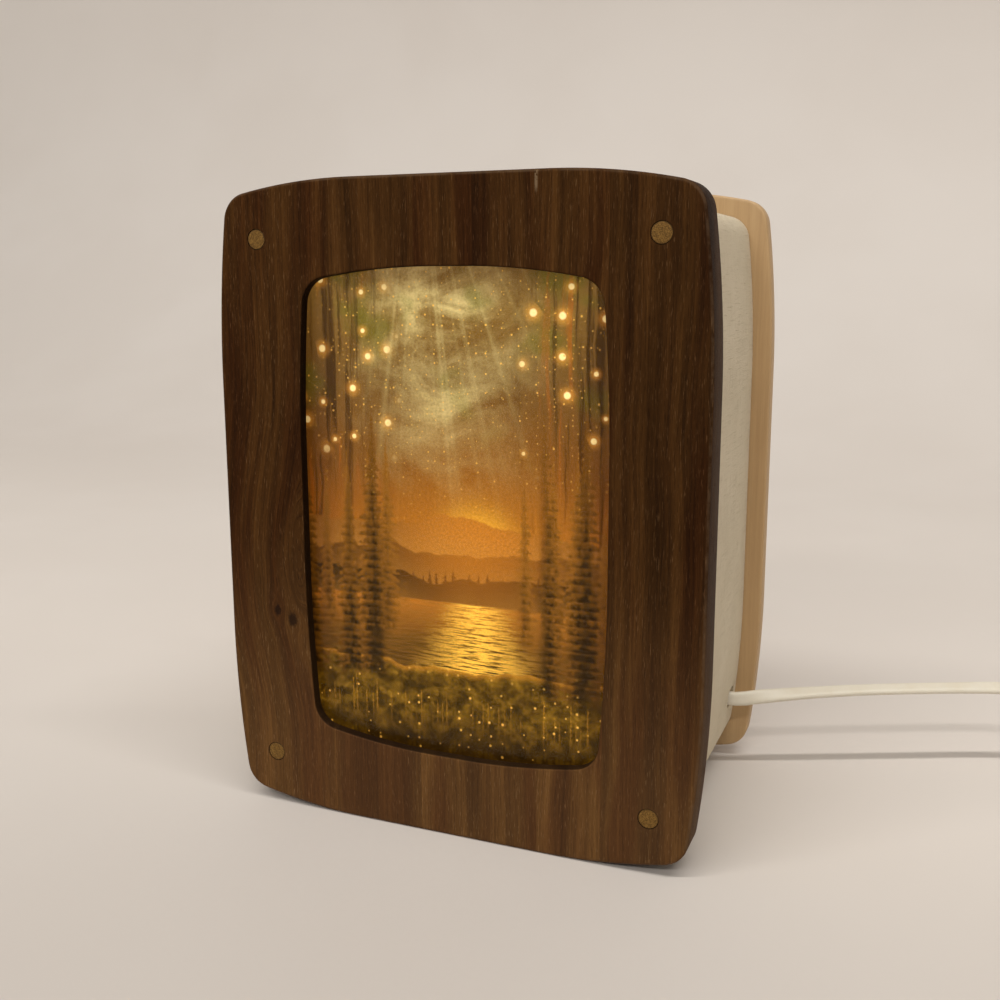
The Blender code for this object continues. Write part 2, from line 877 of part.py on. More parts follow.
def make_clamp():
    ring_face = back_y - gap - ring_thickness - gap
    front = cord_y - cord_thickness / 2 - clamp_slot_clearance - clamp_front_wall
    block = box(
        "cord_clamp",
        (clamp_low_x, front, cord_height - clamp_below),
        (clamp_high_x, ring_face, cord_height + clamp_above),
    )
    ease(block, gap * 2, 1)
    half = cord_width / 2 + clamp_slot_clearance
    slot = box(
        "clamp_slot",
        (clamp_low_x - overrun, cord_y - cord_thickness / 2 - clamp_slot_clearance, cord_height - half),
        (clamp_high_x + overrun, cord_y + cord_thickness / 2 + clamp_slot_clearance, cord_height + half),
    )
    combine(block, slot)
    z = cord_height + clamp_above - screw_head_diameter / 2 - gap * 4
    start = (clamp_middle_x, front - overrun, z)
    end = (clamp_middle_x, ring_face + overrun, z)
    combine(block, rod("clamp_hole", start, end, screw_diameter / 2 + gap, 12))
    keep(block, cream_plastic)
    return clamp_middle_x, front, z


def make_screwed_ring(clamp_screw):
    """The rear ring, with the hole for the clamp's screw."""
    y = back_y - gap - ring_thickness
    ring = make_ring("rear_ring", y)
    x, front, z = clamp_screw
    end = (x, front + clamp_screw_length + gap, z)
    combine(ring, rod("ring_hole", (x, y - overrun, z), end, screw_diameter / 2 + gap, 12))
    screw_along_y("clamp_screw", x, front, z, clamp_screw_length)
    keep(ring, birch)


def make_inner_cord():
    """The held length from the clamp to the underside of the lampholder."""
    inside = clamp_low_x
    nipple_low = holder_bottom - 4 * gap - bracket_thickness - nut_height
    end_z = nipple_low - gap
    turn_z = end_z - cord_width * 2
    spots = [
        (clamp_middle_x - gap / 2, cord_y, cord_height),
        (inside - cord_width, cord_y, cord_height),
        (inside * 0.7, cord_y - cord_width, (cord_height + turn_z) / 2),
        (inside * 0.45, (cord_y + holder_y) / 2, turn_z - cord_thickness),
        (inside * 0.2, holder_y + cord_width, turn_z - cord_width / 2),
        (cord_thickness, holder_y, turn_z),
        (0, holder_y, end_z - cord_width),
        (0, holder_y, end_z),
    ]
    route = [(Vector(spot), 90) for spot in spots]
    keep(flat_cord("inner_cord", smooth_route(route)), cream_cord)


def make_cords():
    mouth = switch_place + Vector((0, switch_length / 2, switch_split))
    entry = Vector((0, cord_entry, 0))
    held = [
        (Vector((clamp_middle_x + gap / 2, cord_y, cord_height)), 90),
        (cord_exit + Vector((2 * gap, 0, 0)), 90),
    ]
    ends = [(mouth + entry * 2.5, 0), (mouth + entry, 0), (mouth - entry, 0)]
    lead = smooth_route(held + route_from(cord_exit, lead_route) + ends)
    keep(flat_cord("cord_to_switch", lead), cream_cord)
    turns = coil_points()
    start = turns[0][0]
    heading = (turns[1][0] - start).normalized()
    mouth = switch_place + Vector((0, -switch_length / 2, switch_split))
    held = [(mouth + entry, 0), (mouth - entry, 0)]
    ends = [(start - heading * back, 0) for back in (cord_width + gap, gap)]
    link = smooth_route(held + route_from(switch_place, link_route) + ends)
    keep(flat_cord("cord_to_coil", link), cream_cord)
    coil = flat_cord("cord_coil", turns)
    print("least gap of the coil to itself: %.2f mm" % (least_gap(coil, 6) / mm))
    keep(coil, cream_cord)


def make_ties():
    """Two flat bands round the bundle of turns, which rests on them."""
    swing = coil_pitch * coil_turns / coil_layers
    reach = swing / 2 + cord_width / 2 + coil_pitch / 2 + gap
    tall = coil_layer_height * (coil_layers - 1) + cord_thickness + 2 * gap
    for i, angle in enumerate(tie_angles):
        outer = rounded_rectangle(
            2 * (reach + tie_thickness), tall + 2 * tie_thickness, tie_thickness * 3, 2
        )
        inner = rounded_rectangle(2 * reach, tall, tie_thickness * 2, 2)
        band = flat_board("coil_tie_%d" % (i + 1), [outer, inner], tie_width)
        place = coil_centre + Vector((coil_mid_radius * math.cos(angle), coil_mid_radius * math.sin(angle), 0))
        place.z = tie_thickness + tall / 2
        band.matrix_basis = (
            Matrix.Translation(place)
            @ Matrix.Rotation(angle, 4, "Z")
            @ Matrix.Rotation(math.pi / 2, 4, "X")
            @ Matrix.Translation((0, 0, -tie_width / 2))
        )
        keep(apply_place(band), cream_plastic)


# Switch, made along X and turned to lie along the cord


def make_switch():
    place = bpy.data.objects.new("switch_place", None)
    lamp.objects.link(place)
    place.location = switch_place
    place.rotation_euler = (0, 0, -math.pi / 2)
    outline = rounded_rectangle(switch_length, switch_width, switch_corner_radius)
    inner = rounded_rectangle(
        switch_length - 2 * switch_wall,
        switch_width - 2 * switch_wall,
        switch_corner_radius - switch_wall,
    )
    boss_x = switch_length / 2 - switch_wall - boss_diameter
    base = flat_board("switch_base", [outline], switch_split)
    ease(base, switch_wall / 2, 2)
    hollow = flat_board("base_hollow", [inner], switch_split)
    hollow.data.transform(Matrix.Translation((0, 0, switch_wall)))
    combine(base, hollow)
    cover_height = switch_height - switch_split - gap
    cover = flat_board("switch_cover", [outline], cover_height)
    ease(cover, switch_wall / 2, 2)
    cover.data.transform(Matrix.Translation((0, 0, switch_split + gap)))
    lid = flat_board("cover_hollow", [inner], cover_height)
    lid.data.transform(Matrix.Translation((0, 0, switch_split + gap - switch_wall)))
    combine(cover, lid)
    half_window_x = rocker_length / 2 + rocker_window_clearance
    half_window_y = rocker_width / 2 + gap
    window_low = (-half_window_x, -half_window_y, switch_split)
    window_high = (half_window_x, half_window_y, switch_height + overrun)
    combine(cover, box("rocker_window", window_low, window_high))
    cord_room = cord_width / 2 + gap
    for obj in (base, cover):
        low = (-switch_length, -cord_room, switch_split - cord_thickness / 2 - gap)
        high = (switch_length, cord_room, switch_split + cord_thickness / 2 + gap)
        combine(obj, box("cord_mouth", low, high))
    axle_z = switch_height - switch_wall - rocker_axle_drop
    axle_radius = rocker_axle_diameter / 2
    cheek_inner = rocker_width / 2 + gap
    cheek_outer = cheek_inner + cheek_thickness
    for side in (1, -1):
        low_y, high_y = sorted((side * cheek_inner, side * cheek_outer))
        top = switch_height - switch_wall - gap
        cheek = box(
            "cheek",
            (-cheek_length / 2, low_y, switch_wall / 2),
            (cheek_length / 2, high_y, top),
        )
        combine(base, cheek, "UNION")
    bore_start = (0, -cheek_outer - overrun, axle_z)
    bore_end = (0, cheek_outer + overrun, axle_z)
    combine(base, rod("axle_bore", bore_start, bore_end, axle_radius + axle_clearance, 16))
    for side in (1, -1):
        x = side * boss_x
        boss = rod(
            "boss",
            (x, 0, switch_split + cord_thickness / 2 + 2 * gap),
            (x, 0, switch_height - switch_wall / 2),
            boss_diameter / 2,
            16,
        )
        combine(cover, boss, "UNION")
        keep_screw_room(base, cover, x)
    make_rocker(place, axle_z, axle_radius, cheek_outer)
    make_terminals(place)
    keep(base, cream_plastic, place)
    keep(cover, cream_plastic, place)
    return place, axle_z


def keep_screw_room(base, cover, x):
    """Clears the way of the screw that comes up beside the cord from below."""
    y = cord_width / 2 + screw_diameter / 2 + 3 * gap
    for side in (1, -1):
        if side * x > 0:
            start = (x, side * y, -overrun)
            end = (x, side * y, switch_height - 2 * switch_wall)
            hole = screw_diameter / 2 + gap
            combine(base, rod("screw_way", start, end, hole, 12))
            post = rod(
                "post",
                (x, side * y, switch_split + 2 * gap),
                (x, side * y, switch_height - switch_wall / 2),
                boss_diameter / 2,
                16,
            )
            combine(cover, post, "UNION")
            combine(cover, rod("screw_way", start, end, hole, 12))


def make_rocker(place, axle_z, axle_radius, cheek_outer):
    """A rocker whose top dips in the middle; at rest its far end is down, which is on."""
    crest = switch_height + rocker_rise
    spots = [
        (share_x * rocker_length, switch_height + rocker_rise * share_z)
        for share_x, share_z in rocker_profile_shares
    ]
    low = axle_z - rocker_depth / 2
    outline = [
        (-rocker_length / 2, low),
        (rocker_length / 2, low),
        *[spot for spot in reversed(spots)],
    ]
    rocker = flat_board("switch_rocker", [outline], rocker_width)
    upright = Matrix.Translation((0, rocker_width / 2, 0)) @ Matrix.Rotation(math.pi / 2, 4, "X")
    rocker.data.transform(upright)
    ease(rocker, gap, 1)
    axle = rod(
        "axle", (0, -cheek_outer + gap, axle_z), (0, cheek_outer - gap, axle_z), axle_radius, 16
    )
    combine(rocker, axle, "UNION")
    rocker.data.transform(Matrix.Translation((0, 0, -axle_z)))
    rocker.data.transform(Matrix.Rotation(rocker_throw / 2, 4, "Y"))
    rocker.location = (0, 0, axle_z)
    keep(rocker, cream_plastic, place)
    return crest


def make_terminals(place):
    for i, side in enumerate((1, -1)):
        x = side * (cheek_length / 2 + terminal_length / 2 + 2 * overrun)
        y = side * (switch_width / 2 - switch_wall - terminal_width / 2 - gap)
        low = (x - terminal_length / 2, y - terminal_width / 2, switch_wall + gap)
        high = (x + terminal_length / 2, y + terminal_width / 2, switch_wall + gap + terminal_height)
        block = box("switch_terminal_%d" % (i + 1), low, high)
        middle = switch_wall + gap + terminal_height / 2
        start = (x - terminal_length, y, middle)
        end = (x + terminal_length, y, middle)
        combine(block, rod("wire_hole", start, end, terminal_height / 4, 12))
        keep(block, brass, place)


def make_switch_screws(place):
    boss_x = switch_length / 2 - switch_wall - boss_diameter
    y = cord_width / 2 + screw_diameter / 2 + 3 * gap
    for i, side in enumerate((1, -1)):
        spot = (side * boss_x, side * y)
        top = switch_height - 2 * switch_wall - gap
        screw = rod("switch_screw_%d" % (i + 1), (*spot, gap), (*spot, top), screw_diameter / 2, 12)
        keep(screw, steel, place)


# Plug


def make_plug(start, heading):
    """The plug lies flat, its relief towards the cord, with two pins."""
    place = bpy.data.objects.new("plug_place", None)
    lamp.objects.link(place)
    place.location = (start.x, start.y, plug_thickness / 2)
    place.rotation_euler = (0, 0, math.atan2(heading.y, heading.x))
    half = plug_width / 2
    nose = plug_nose / 2
    long = plug_length
    outline = [
        (0, -nose),
        (long * 0.22, -nose * 1.25),
        (long * 0.5, -half * 0.92),
        (long * 0.72, -half),
        (long, -half * 0.9),
        (long, half * 0.9),
        (long * 0.72, half),
        (long * 0.5, half * 0.92),
        (long * 0.22, nose * 1.25),
        (0, nose),
    ]
    body = flat_board("plug_body", [outline], plug_thickness)
    body.data.transform(Matrix.Translation((plug_relief_length, 0, -plug_thickness / 2)))
    ease(body, plug_thickness / 6, 2)
    relief = rod(
        "relief",
        (0, 0, 0),
        (plug_relief_length + overrun, 0, 0),
        cord_width / 2 + 2 * gap,
        16,
        plug_relief_diameter / 2,
    )
    combine(body, relief, "UNION")
    face = plug_relief_length + plug_length
    for i, side in enumerate((1, -1)):
        y = side * pin_spacing / 2
        root = face - pin_root
        combine(
            body,
            rod("pin_hole", (root - gap, y, 0), (face + overrun, y, 0), pin_diameter / 2 + gap, 16),
        )
        pin = rod("plug_pin_%d" % (i + 1), (root, y, 0), (face + pin_length, y, 0), pin_diameter / 2, 16)
        ease(pin, pin_diameter / 6, 2)
        keep(pin, brass, place)
    keep(body, cream_plastic, place)


def make_tail():
    """From the end of the coil straight to the plug, coming down to the plug's height."""
    end, before = coil_points()[-1][0], coil_points()[-2][0]
    heading = (end - before).normalized()
    heading.z = 0
    heading.normalize()
    start = end + heading * gap
    run = 6 * cord_width
    drop = start.z - plug_thickness / 2
    steps = ((0.0, 0.0), (0.18, 0.0), (0.4, 0.3), (0.6, 0.7), (0.82, 1.0), (1.0, 1.0))
    tail_shares = [(along, down) for along, down in steps]
    route = [
        (start + heading * run * along - Vector((0, 0, drop * down)), 0)
        for along, down in tail_shares
    ]
    keep(flat_cord("cord_to_plug", smooth_route(route)), cream_cord)
    return start + heading * (run + gap), heading


make_front_frame()
make_card_stack()
make_back_plate()
keep(make_ring("front_ring", ring_y + gap), birch)
make_shade_band()
make_dowels()
make_screwed_ring(make_clamp())
make_bracket()
bulb_seat, thread_bore = make_lampholder()
make_bulb(bulb_seat, thread_bore)
make_inner_cord()
make_cords()
make_ties()
switch_empty, switch_axle_z = make_switch()
make_switch_screws(switch_empty)
plug_start, plug_heading = make_tail()
make_plug(plug_start, plug_heading)

for piece in lamp.objects:
    if piece.type == "MESH":
        piece.data.shade_smooth()
        piece.data.set_sharp_from_angle(angle=math.radians(35))
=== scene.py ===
import math

import bmesh
import bpy
from mathutils import Matrix, Vector


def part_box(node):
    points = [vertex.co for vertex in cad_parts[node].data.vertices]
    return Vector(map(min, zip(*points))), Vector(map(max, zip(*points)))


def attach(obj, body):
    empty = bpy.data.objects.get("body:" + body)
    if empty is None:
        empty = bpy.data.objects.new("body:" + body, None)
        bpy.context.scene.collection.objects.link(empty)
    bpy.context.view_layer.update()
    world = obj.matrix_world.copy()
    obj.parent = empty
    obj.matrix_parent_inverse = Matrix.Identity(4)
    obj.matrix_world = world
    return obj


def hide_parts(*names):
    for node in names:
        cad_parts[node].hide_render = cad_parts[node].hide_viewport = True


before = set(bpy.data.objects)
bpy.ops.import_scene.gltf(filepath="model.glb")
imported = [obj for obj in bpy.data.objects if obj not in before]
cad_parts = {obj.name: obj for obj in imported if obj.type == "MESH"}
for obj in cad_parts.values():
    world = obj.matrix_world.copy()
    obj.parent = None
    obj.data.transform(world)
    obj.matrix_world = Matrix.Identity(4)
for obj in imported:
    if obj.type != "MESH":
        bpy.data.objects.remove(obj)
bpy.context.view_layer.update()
mm = 0.001

# the whole lamp's shape, as the boards share it (metres)
lampShape = {
    "halfWidth": 75.5 * mm,
    "halfHeight": 97 * mm,
    "sideFlat": 38 * mm,
    "sideBow": 4.7 * mm,
    "topFlat": 30 * mm,
    "topBow": 5.95 * mm,
    "corner": 8.5 * mm,
    "middle": 97 * mm,
    "front": -48.25 * mm,
    "frontRear": -36.25 * mm,
    "backFront": 41.75 * mm,
    "rear": 48.25 * mm,
    "dowelSide": 61 * mm,
    "dowelRise": 80 * mm,
}


# camera, first
camSettings = {
    "place": (0.13442, -0.33378, 0.16575),
    "yaw": -22.443,
    "pitch": -10.532,
    "roll": -0.116,
    "lens": 40.49,
    "shiftY": -0.013,
}


def makeCamera():
    data = bpy.data.cameras.new("photoCamera")
    data.sensor_width = 36
    data.lens = camSettings["lens"]
    data.shift_y = camSettings["shiftY"]
    data.clip_start = 0.01
    camera = bpy.data.objects.new("photoCamera", data)
    bpy.context.scene.collection.objects.link(camera)
    yaw, pitch, roll = (math.radians(camSettings[k]) for k in ("yaw", "pitch", "roll"))
    ahead = Vector((math.sin(yaw) * math.cos(pitch), math.cos(yaw) * math.cos(pitch), math.sin(pitch)))
    right = ahead.cross(Vector((0, 0, 1))).normalized()
    up = right.cross(ahead)
    turnedRight = right * math.cos(roll) + up * math.sin(roll)
    turnedUp = up * math.cos(roll) - right * math.sin(roll)
    camera.matrix_world = Matrix(
        (
            (turnedRight.x, turnedUp.x, -ahead.x, camSettings["place"][0]),
            (turnedRight.y, turnedUp.y, -ahead.y, camSettings["place"][1]),
            (turnedRight.z, turnedUp.z, -ahead.z, camSettings["place"][2]),
            (0, 0, 0, 1),
        )
    )
    bpy.context.scene.camera = camera


makeCamera()


# small helpers for meshes
def newPiece(name, verts, faces, smoothAngle=32):
    mesh = bpy.data.meshes.new(name)
    mesh.from_pydata([tuple(v) for v in verts], [], faces)
    mesh.update()
    obj = bpy.data.objects.new(name, mesh)
    bpy.context.scene.collection.objects.link(obj)
    tidyNormals(obj, smoothAngle)
    return obj


def tidyNormals(obj, smoothAngle=32):
    form = bmesh.new()
    form.from_mesh(obj.data)
    bmesh.ops.remove_doubles(form, verts=form.verts, dist=1e-6)
    bmesh.ops.recalc_face_normals(form, faces=form.faces)
    form.to_mesh(obj.data)
    form.free()
    shadeBy(obj, smoothAngle)


def shadeBy(obj, smoothAngle=32):
    obj.data.shade_smooth()
    obj.data.set_sharp_from_angle(angle=math.radians(smoothAngle))


def bakeModifiers(obj, smoothAngle=None):
    bpy.context.view_layer.update()
    evaluated = obj.evaluated_get(bpy.context.evaluated_depsgraph_get())
    mesh = bpy.data.meshes.new_from_object(evaluated)
    obj.modifiers.clear()
    old = obj.data
    obj.data = mesh
    bpy.data.meshes.remove(old)
    mesh.name = obj.name
    if smoothAngle:
        shadeBy(obj, smoothAngle)
    return obj


def combine(obj, cutter, operation="DIFFERENCE"):
    change = obj.modifiers.new("combine", "BOOLEAN")
    change.object = cutter
    change.operation = operation
    bakeModifiers(obj)
    bpy.data.objects.remove(cutter, do_unlink=True)
    return obj


def joinPieces(name, objs, smoothAngle=32):
    form = bmesh.new()
    slots = []
    for obj in objs:
        start = len(form.faces)
        form.from_mesh(obj.data)
        form.faces.ensure_lookup_table()
        own = [m for m in obj.data.materials]
        base = len(slots)
        slots += own
        for face in form.faces[start:]:
            face.material_index += base
    mesh = bpy.data.meshes.new(name)
    form.to_mesh(mesh)
    form.free()
    for slot in slots:
        mesh.materials.append(slot)
    for obj in objs:
        bpy.data.objects.remove(obj, do_unlink=True)
    made = bpy.data.objects.new(name, mesh)
    bpy.context.scene.collection.objects.link(made)
    shadeBy(made, smoothAngle)
    return made


def arcPoints(cx, cy, radius, start, end, steps):
    return [
        (cx + radius * math.cos(start + (end - start) * i / steps), cy + radius * math.sin(start + (end - start) * i / steps))
        for i in range(steps + 1)
    ]


def bowedLoop(shape, inset=0.0, corner=None, steps=(14, 12, 14), flatSteps=6):
    # a quarter, then its mirror images, so that every loop has the same count
    def radius(half, flat, bow):
        reach = half - flat
        return (reach * reach + bow * bow) / (2 * bow)

    sideRadius = radius(shape["halfHeight"], shape["sideFlat"], shape["sideBow"]) - inset
    topRadius = radius(shape["halfWidth"], shape["topFlat"], shape["topBow"]) - inset
    halfW = shape["halfWidth"] - inset
    halfH = shape["halfHeight"] - inset
    roundness = shape["corner"] - inset if corner is None else corner
    side = Vector((halfW - sideRadius, shape["sideFlat"]))
    top = Vector((shape["topFlat"], halfH - topRadius))
    sideReach, topReach = sideRadius - roundness, topRadius - roundness
    across = top - side
    span = across.length
    along = (span * span + sideReach * sideReach - topReach * topReach) / (2 * span)
    out = math.sqrt(max(0.0, sideReach * sideReach - along * along))
    unit = across.normalized()
    square = Vector((-unit.y, unit.x))
    spot = max((side + unit * along + square * s * out for s in (1, -1)), key=lambda p: p.x + p.y)
    low = math.atan2(spot.y - side.y, spot.x - side.x)
    high = math.atan2(spot.y - top.y, spot.x - top.x)
    quarter = [(halfW, shape["sideFlat"] * i / flatSteps) for i in range(flatSteps)]
    quarter += arcPoints(side.x, side.y, sideRadius, 0, low, steps[0])
    quarter += arcPoints(spot.x, spot.y, roundness, low, high, steps[1])[1:]
    quarter += arcPoints(top.x, top.y, topRadius, high, math.pi / 2, steps[2])[1:]
    quarter += [(shape["topFlat"] * (1 - i / flatSteps), halfH) for i in range(1, flatSteps + 1)]
    left = [(-x, y) for x, y in reversed(quarter[:-1])]
    upper = quarter + left
    return upper + [(x, -y) for x, y in reversed(upper[1:-1])]


def roundLoop(halfW, halfH, corner, steps=8, straight=1):
    points = []
    for quarter, (sx, sy) in enumerate(((1, 1), (-1, 1), (-1, -1), (1, -1))):
        start = quarter * math.pi / 2
        points += arcPoints(sx * (halfW - corner), sy * (halfH - corner), corner, start, start + math.pi / 2, steps)
    return points


def standing(loop, y, middle=None):
    middle = lampShape["middle"] if middle is None else middle
    return [(x, y, z + middle) for x, z in loop]


def flat(loop, z):
    return [(x, y, z) for x, y in loop]


def loft(name, rings, wrap=False, smoothAngle=32, marks=None, capEnds=True):
    # rings of equal count are joined one to the next; wrap joins the last to the first
    count = len(rings[0])
    verts = [p for ring in rings for p in ring]
    faces = []
    pairs = len(rings) if wrap else len(rings) - 1
    for r in range(pairs):
        a, b = r * count, ((r + 1) % len(rings)) * count
        for i in range(count):
            j = (i + 1) % count
            faces.append((a + i, a + j, b + j, b + i))
    if not wrap and capEnds:
        faces.append(tuple(range(count)))
        last = (len(rings) - 1) * count
        faces.append(tuple(last + i for i in reversed(range(count))))
    mesh = bpy.data.meshes.new(name)
    mesh.from_pydata(verts, [], faces)
    if marks:
        edge = mesh.attributes.new("edge", "FLOAT", "POINT")
        edge.data.foreach_set("value", [marks[r] for r in range(len(rings)) for _ in range(count)])
    obj = bpy.data.objects.new(name, mesh)
    bpy.context.scene.collection.objects.link(obj)
    form = bmesh.new()
    form.from_mesh(mesh)
    bmesh.ops.recalc_face_normals(form, faces=form.faces)
    form.to_mesh(mesh)
    form.free()
    shadeBy(obj, smoothAngle)
    return obj


def lathe(name, profile, place, steps=64, axis="Z", smoothAngle=32, marks=None):
    # profile of radius and height; a radius of 0 closes that end in one point
    rings = []
    for radius, height in profile:
        ring = []
        for i in range(steps):
            angle = 2 * math.pi * i / steps
            a, b = radius * math.cos(angle), radius * math.sin(angle)
            spot = (a, b, height) if axis == "Z" else (a, height, b) if axis == "Y" else (height, a, b)
            ring.append(tuple(Vector(spot) + Vector(place)))
        rings.append(ring)
    obj = loft(name, rings, smoothAngle=smoothAngle, capEnds=True)
    form = bmesh.new()
    form.from_mesh(obj.data)
    bmesh.ops.remove_doubles(form, verts=form.verts, dist=1e-7)
    bmesh.ops.dissolve_degenerate(form, edges=form.edges, dist=1e-8)
    bmesh.ops.recalc_face_normals(form, faces=form.faces)
    form.to_mesh(obj.data)
    form.free()
    shadeBy(obj, smoothAngle)
    return obj


def cylinderCutter(x, z, radius, low, high, steps=48):
    return lathe("cutter", [(radius, low), (radius, high)], (x, 0, z), steps, axis="Y")


# small helpers for node trees
def put(tree, kind, inputs=None, **settings):
    node = tree.nodes.new(kind)
    for key, value in settings.items():
        setattr(node, key, value)
    for key, value in (inputs or {}).items():
        feed(tree, node.inputs[key], value)
    return node


def feed(tree, socket, value):
    if isinstance(value, bpy.types.NodeSocket):
        tree.links.new(value, socket)
    elif value is not None:
        socket.default_value = value


def calc(tree, operation, a, b=None, c=None, clamp=False):
    node = put(tree, "ShaderNodeMath", operation=operation, use_clamp=clamp)
    for socket, value in zip(node.inputs, (a, b, c)):
        feed(tree, socket, value)
    return node.outputs[0]


def vecCalc(tree, operation, a, b=None, scale=None):
    node = put(tree, "ShaderNodeVectorMath", operation=operation)
    feed(tree, node.inputs[0], a)
    if b is not None:
        feed(tree, node.inputs[1], b)
    if scale is not None:
        feed(tree, node.inputs["Scale"], scale)
    return node.outputs["Value"] if operation in ("DISTANCE", "LENGTH", "DOT_PRODUCT") else node.outputs[0]


def blendColour(tree, share, a, b, mode="MIX"):
    node = put(tree, "ShaderNodeMix", data_type="RGBA", blend_type=mode)
    feed(tree, node.inputs[0], share)
    feed(tree, node.inputs[6], a)
    feed(tree, node.inputs[7], b)
    return node.outputs[2]


def spread(tree, value, low, high, toLow=0.0, toHigh=1.0, kind="SMOOTHSTEP"):
    node = put(tree, "ShaderNodeMapRange", interpolation_type=kind)
    for key, v in zip(("Value", "From Min", "From Max", "To Min", "To Max"), (value, low, high, toLow, toHigh)):
        feed(tree, node.inputs[key], v)
    return node.outputs[0]


def ramp(tree, value, stops, mode="LINEAR"):
    node = put(tree, "ShaderNodeValToRGB", {"Fac": value})
    node.color_ramp.interpolation = mode
    elements = node.color_ramp.elements
    while len(elements) < len(stops):
        elements.new(0.5)
    for element, (place, colour) in zip(elements, stops):
        element.position = place
        element.color = colour if len(colour) == 4 else (*colour, 1)
    return node.outputs["Color"]


def noiseAt(tree, vector, scale=1.0, detail=3.0, rough=0.55, distortion=0.0, out=0, dims="3D", w=None):
    node = put(tree, "ShaderNodeTexNoise", {"Scale": scale, "Detail": detail, "Roughness": rough, "Distortion": distortion}, noise_dimensions=dims)
    if dims != "1D":
        feed(tree, node.inputs["Vector"], vector)
    if w is not None:
        feed(tree, node.inputs["W"], w)
    return node.outputs[out]


def split(tree, vector):
    return put(tree, "ShaderNodeSeparateXYZ", {"Vector": vector}).outputs


def join(tree, x, y, z):
    return put(tree, "ShaderNodeCombineXYZ", {"X": x, "Y": y, "Z": z}).outputs[0]


def srgb(r, g, b):
    return tuple(((c / 255 + 0.055) / 1.055) ** 2.4 if c > 10 else c / 255 / 12.92 for c in (r, g, b))


def rgba(r, g, b):
    return (*srgb(r, g, b), 1)


def newGroup(name, ins, outs):
    group = bpy.data.node_groups.new(name, "ShaderNodeTree")
    for label, kind, value in ins:
        socket = group.interface.new_socket(label, in_out="INPUT", socket_type=kind)
        if value is not None:
            socket.default_value = value
    for label, kind in outs:
        group.interface.new_socket(label, in_out="OUTPUT", socket_type=kind)
    start = group.nodes.new("NodeGroupInput").outputs
    end = group.nodes.new("NodeGroupOutput").inputs
    return group, start, end


def useGroup(tree, group, inputs):
    node = tree.nodes.new("ShaderNodeGroup")
    node.node_tree = group
    for key, value in inputs.items():
        feed(tree, node.inputs[key], value)
    return node.outputs


def newMaterial(name):
    made = bpy.data.materials.new(name)
    made.use_nodes = True
    tree = made.node_tree
    return made, tree, tree.nodes["Principled BSDF"]


def objectMm(tree):
    coords = put(tree, "ShaderNodeTexCoord").outputs["Object"]
    return vecCalc(tree, "SCALE", coords, scale=1000.0)


def bumpFrom(tree, height, distance, strength=1.0, normal=None):
    node = put(tree, "ShaderNodeBump", {"Height": height, "Distance": distance, "Strength": strength})
    if normal is not None:
        feed(tree, node.inputs["Normal"], normal)
    return node.outputs[0]


def dress(obj, *materials):
    obj.data.materials.clear()
    for material in materials:
        obj.data.materials.append(material)
    return obj


# the cord's line, as it lies: out of the slot, past the view, through the switch, round its coil, to the plug
cordLine = {
    "exit": (69.5, 30.75, 25.4),
    "clampX": 58.55,
    "lead": [
        ((6.5, 2.65, 0.5), -66),
        ((14.5, 5.9, 1.3), -38),
        ((25.5, 10.4, 2.2), -22),
        ((39.5, 16.5, 2.9), -17),
        ((54.5, 23.1, 3.2), -17),
        ((69.5, 29.9, 3.2), -18),
        ((83.5, 36.2, 2.9), -28),
        ((96.5, 40.4, 1.3), -28),
        ((109.5, 41.4, -4.6), -24),
        ((121.0, 38.6, -10.6), -16),
        ((129.5, 31.0, -15.0), -8),
        ((134.1, 20.85, -17.6), -2),
    ],
    "switch": (205, 2, 0),
    "switchLength": 58,
    "switchSplit": 7,
    "entry": 3.8,
    "link": [
        ((0.2, -39.5, 6.0), 0),
        ((2.2, -47.0, 4.2), 0),
        ((7.4, -53.2, 3.0), 0),
        ((15.0, -56.6, 2.4), 0),
        ((23.6, -56.9, 2.2), 0),
        ((31.0, -54.6, 2.2), 0),
    ],
    "coil": (252, -17.5),
    "coilRadius": 27,
    "coilPitch": 5.35,
    "coilLayer": 2.95,
    "coilLayers": 4,
    "coilTurns": 8.25,
    "coilBase": 2.2,
    "width": 4.8,
    "thickness": 2.4,
    "tail": 28.8,
    "plugHeight": 6.85,
}


def smoothLine(route, step=3.0):
    places = [Vector(p) for p, _ in route]
    turns = [t for _, t in route]
    places = [2 * places[0] - places[1], *places, 2 * places[-1] - places[-2]]
    turns = [turns[0], *turns, turns[-1]]
    line = []
    for i in range(1, len(places) - 2):
        a, b, c, d = places[i - 1 : i + 3]
        pieces = max(1, round((c - b).length / step))
        for k in range(pieces):
            t = k / pieces
            spot = b + (c - a) * t / 2 + (2 * a - 5 * b + 4 * c - d) * t * t / 2 + (3 * b - a - 3 * c + d) * t**3 / 2
            line.append((spot, turns[i] + (turns[i + 1] - turns[i]) * t))
    line.append((places[-2], turns[-2]))
    return line


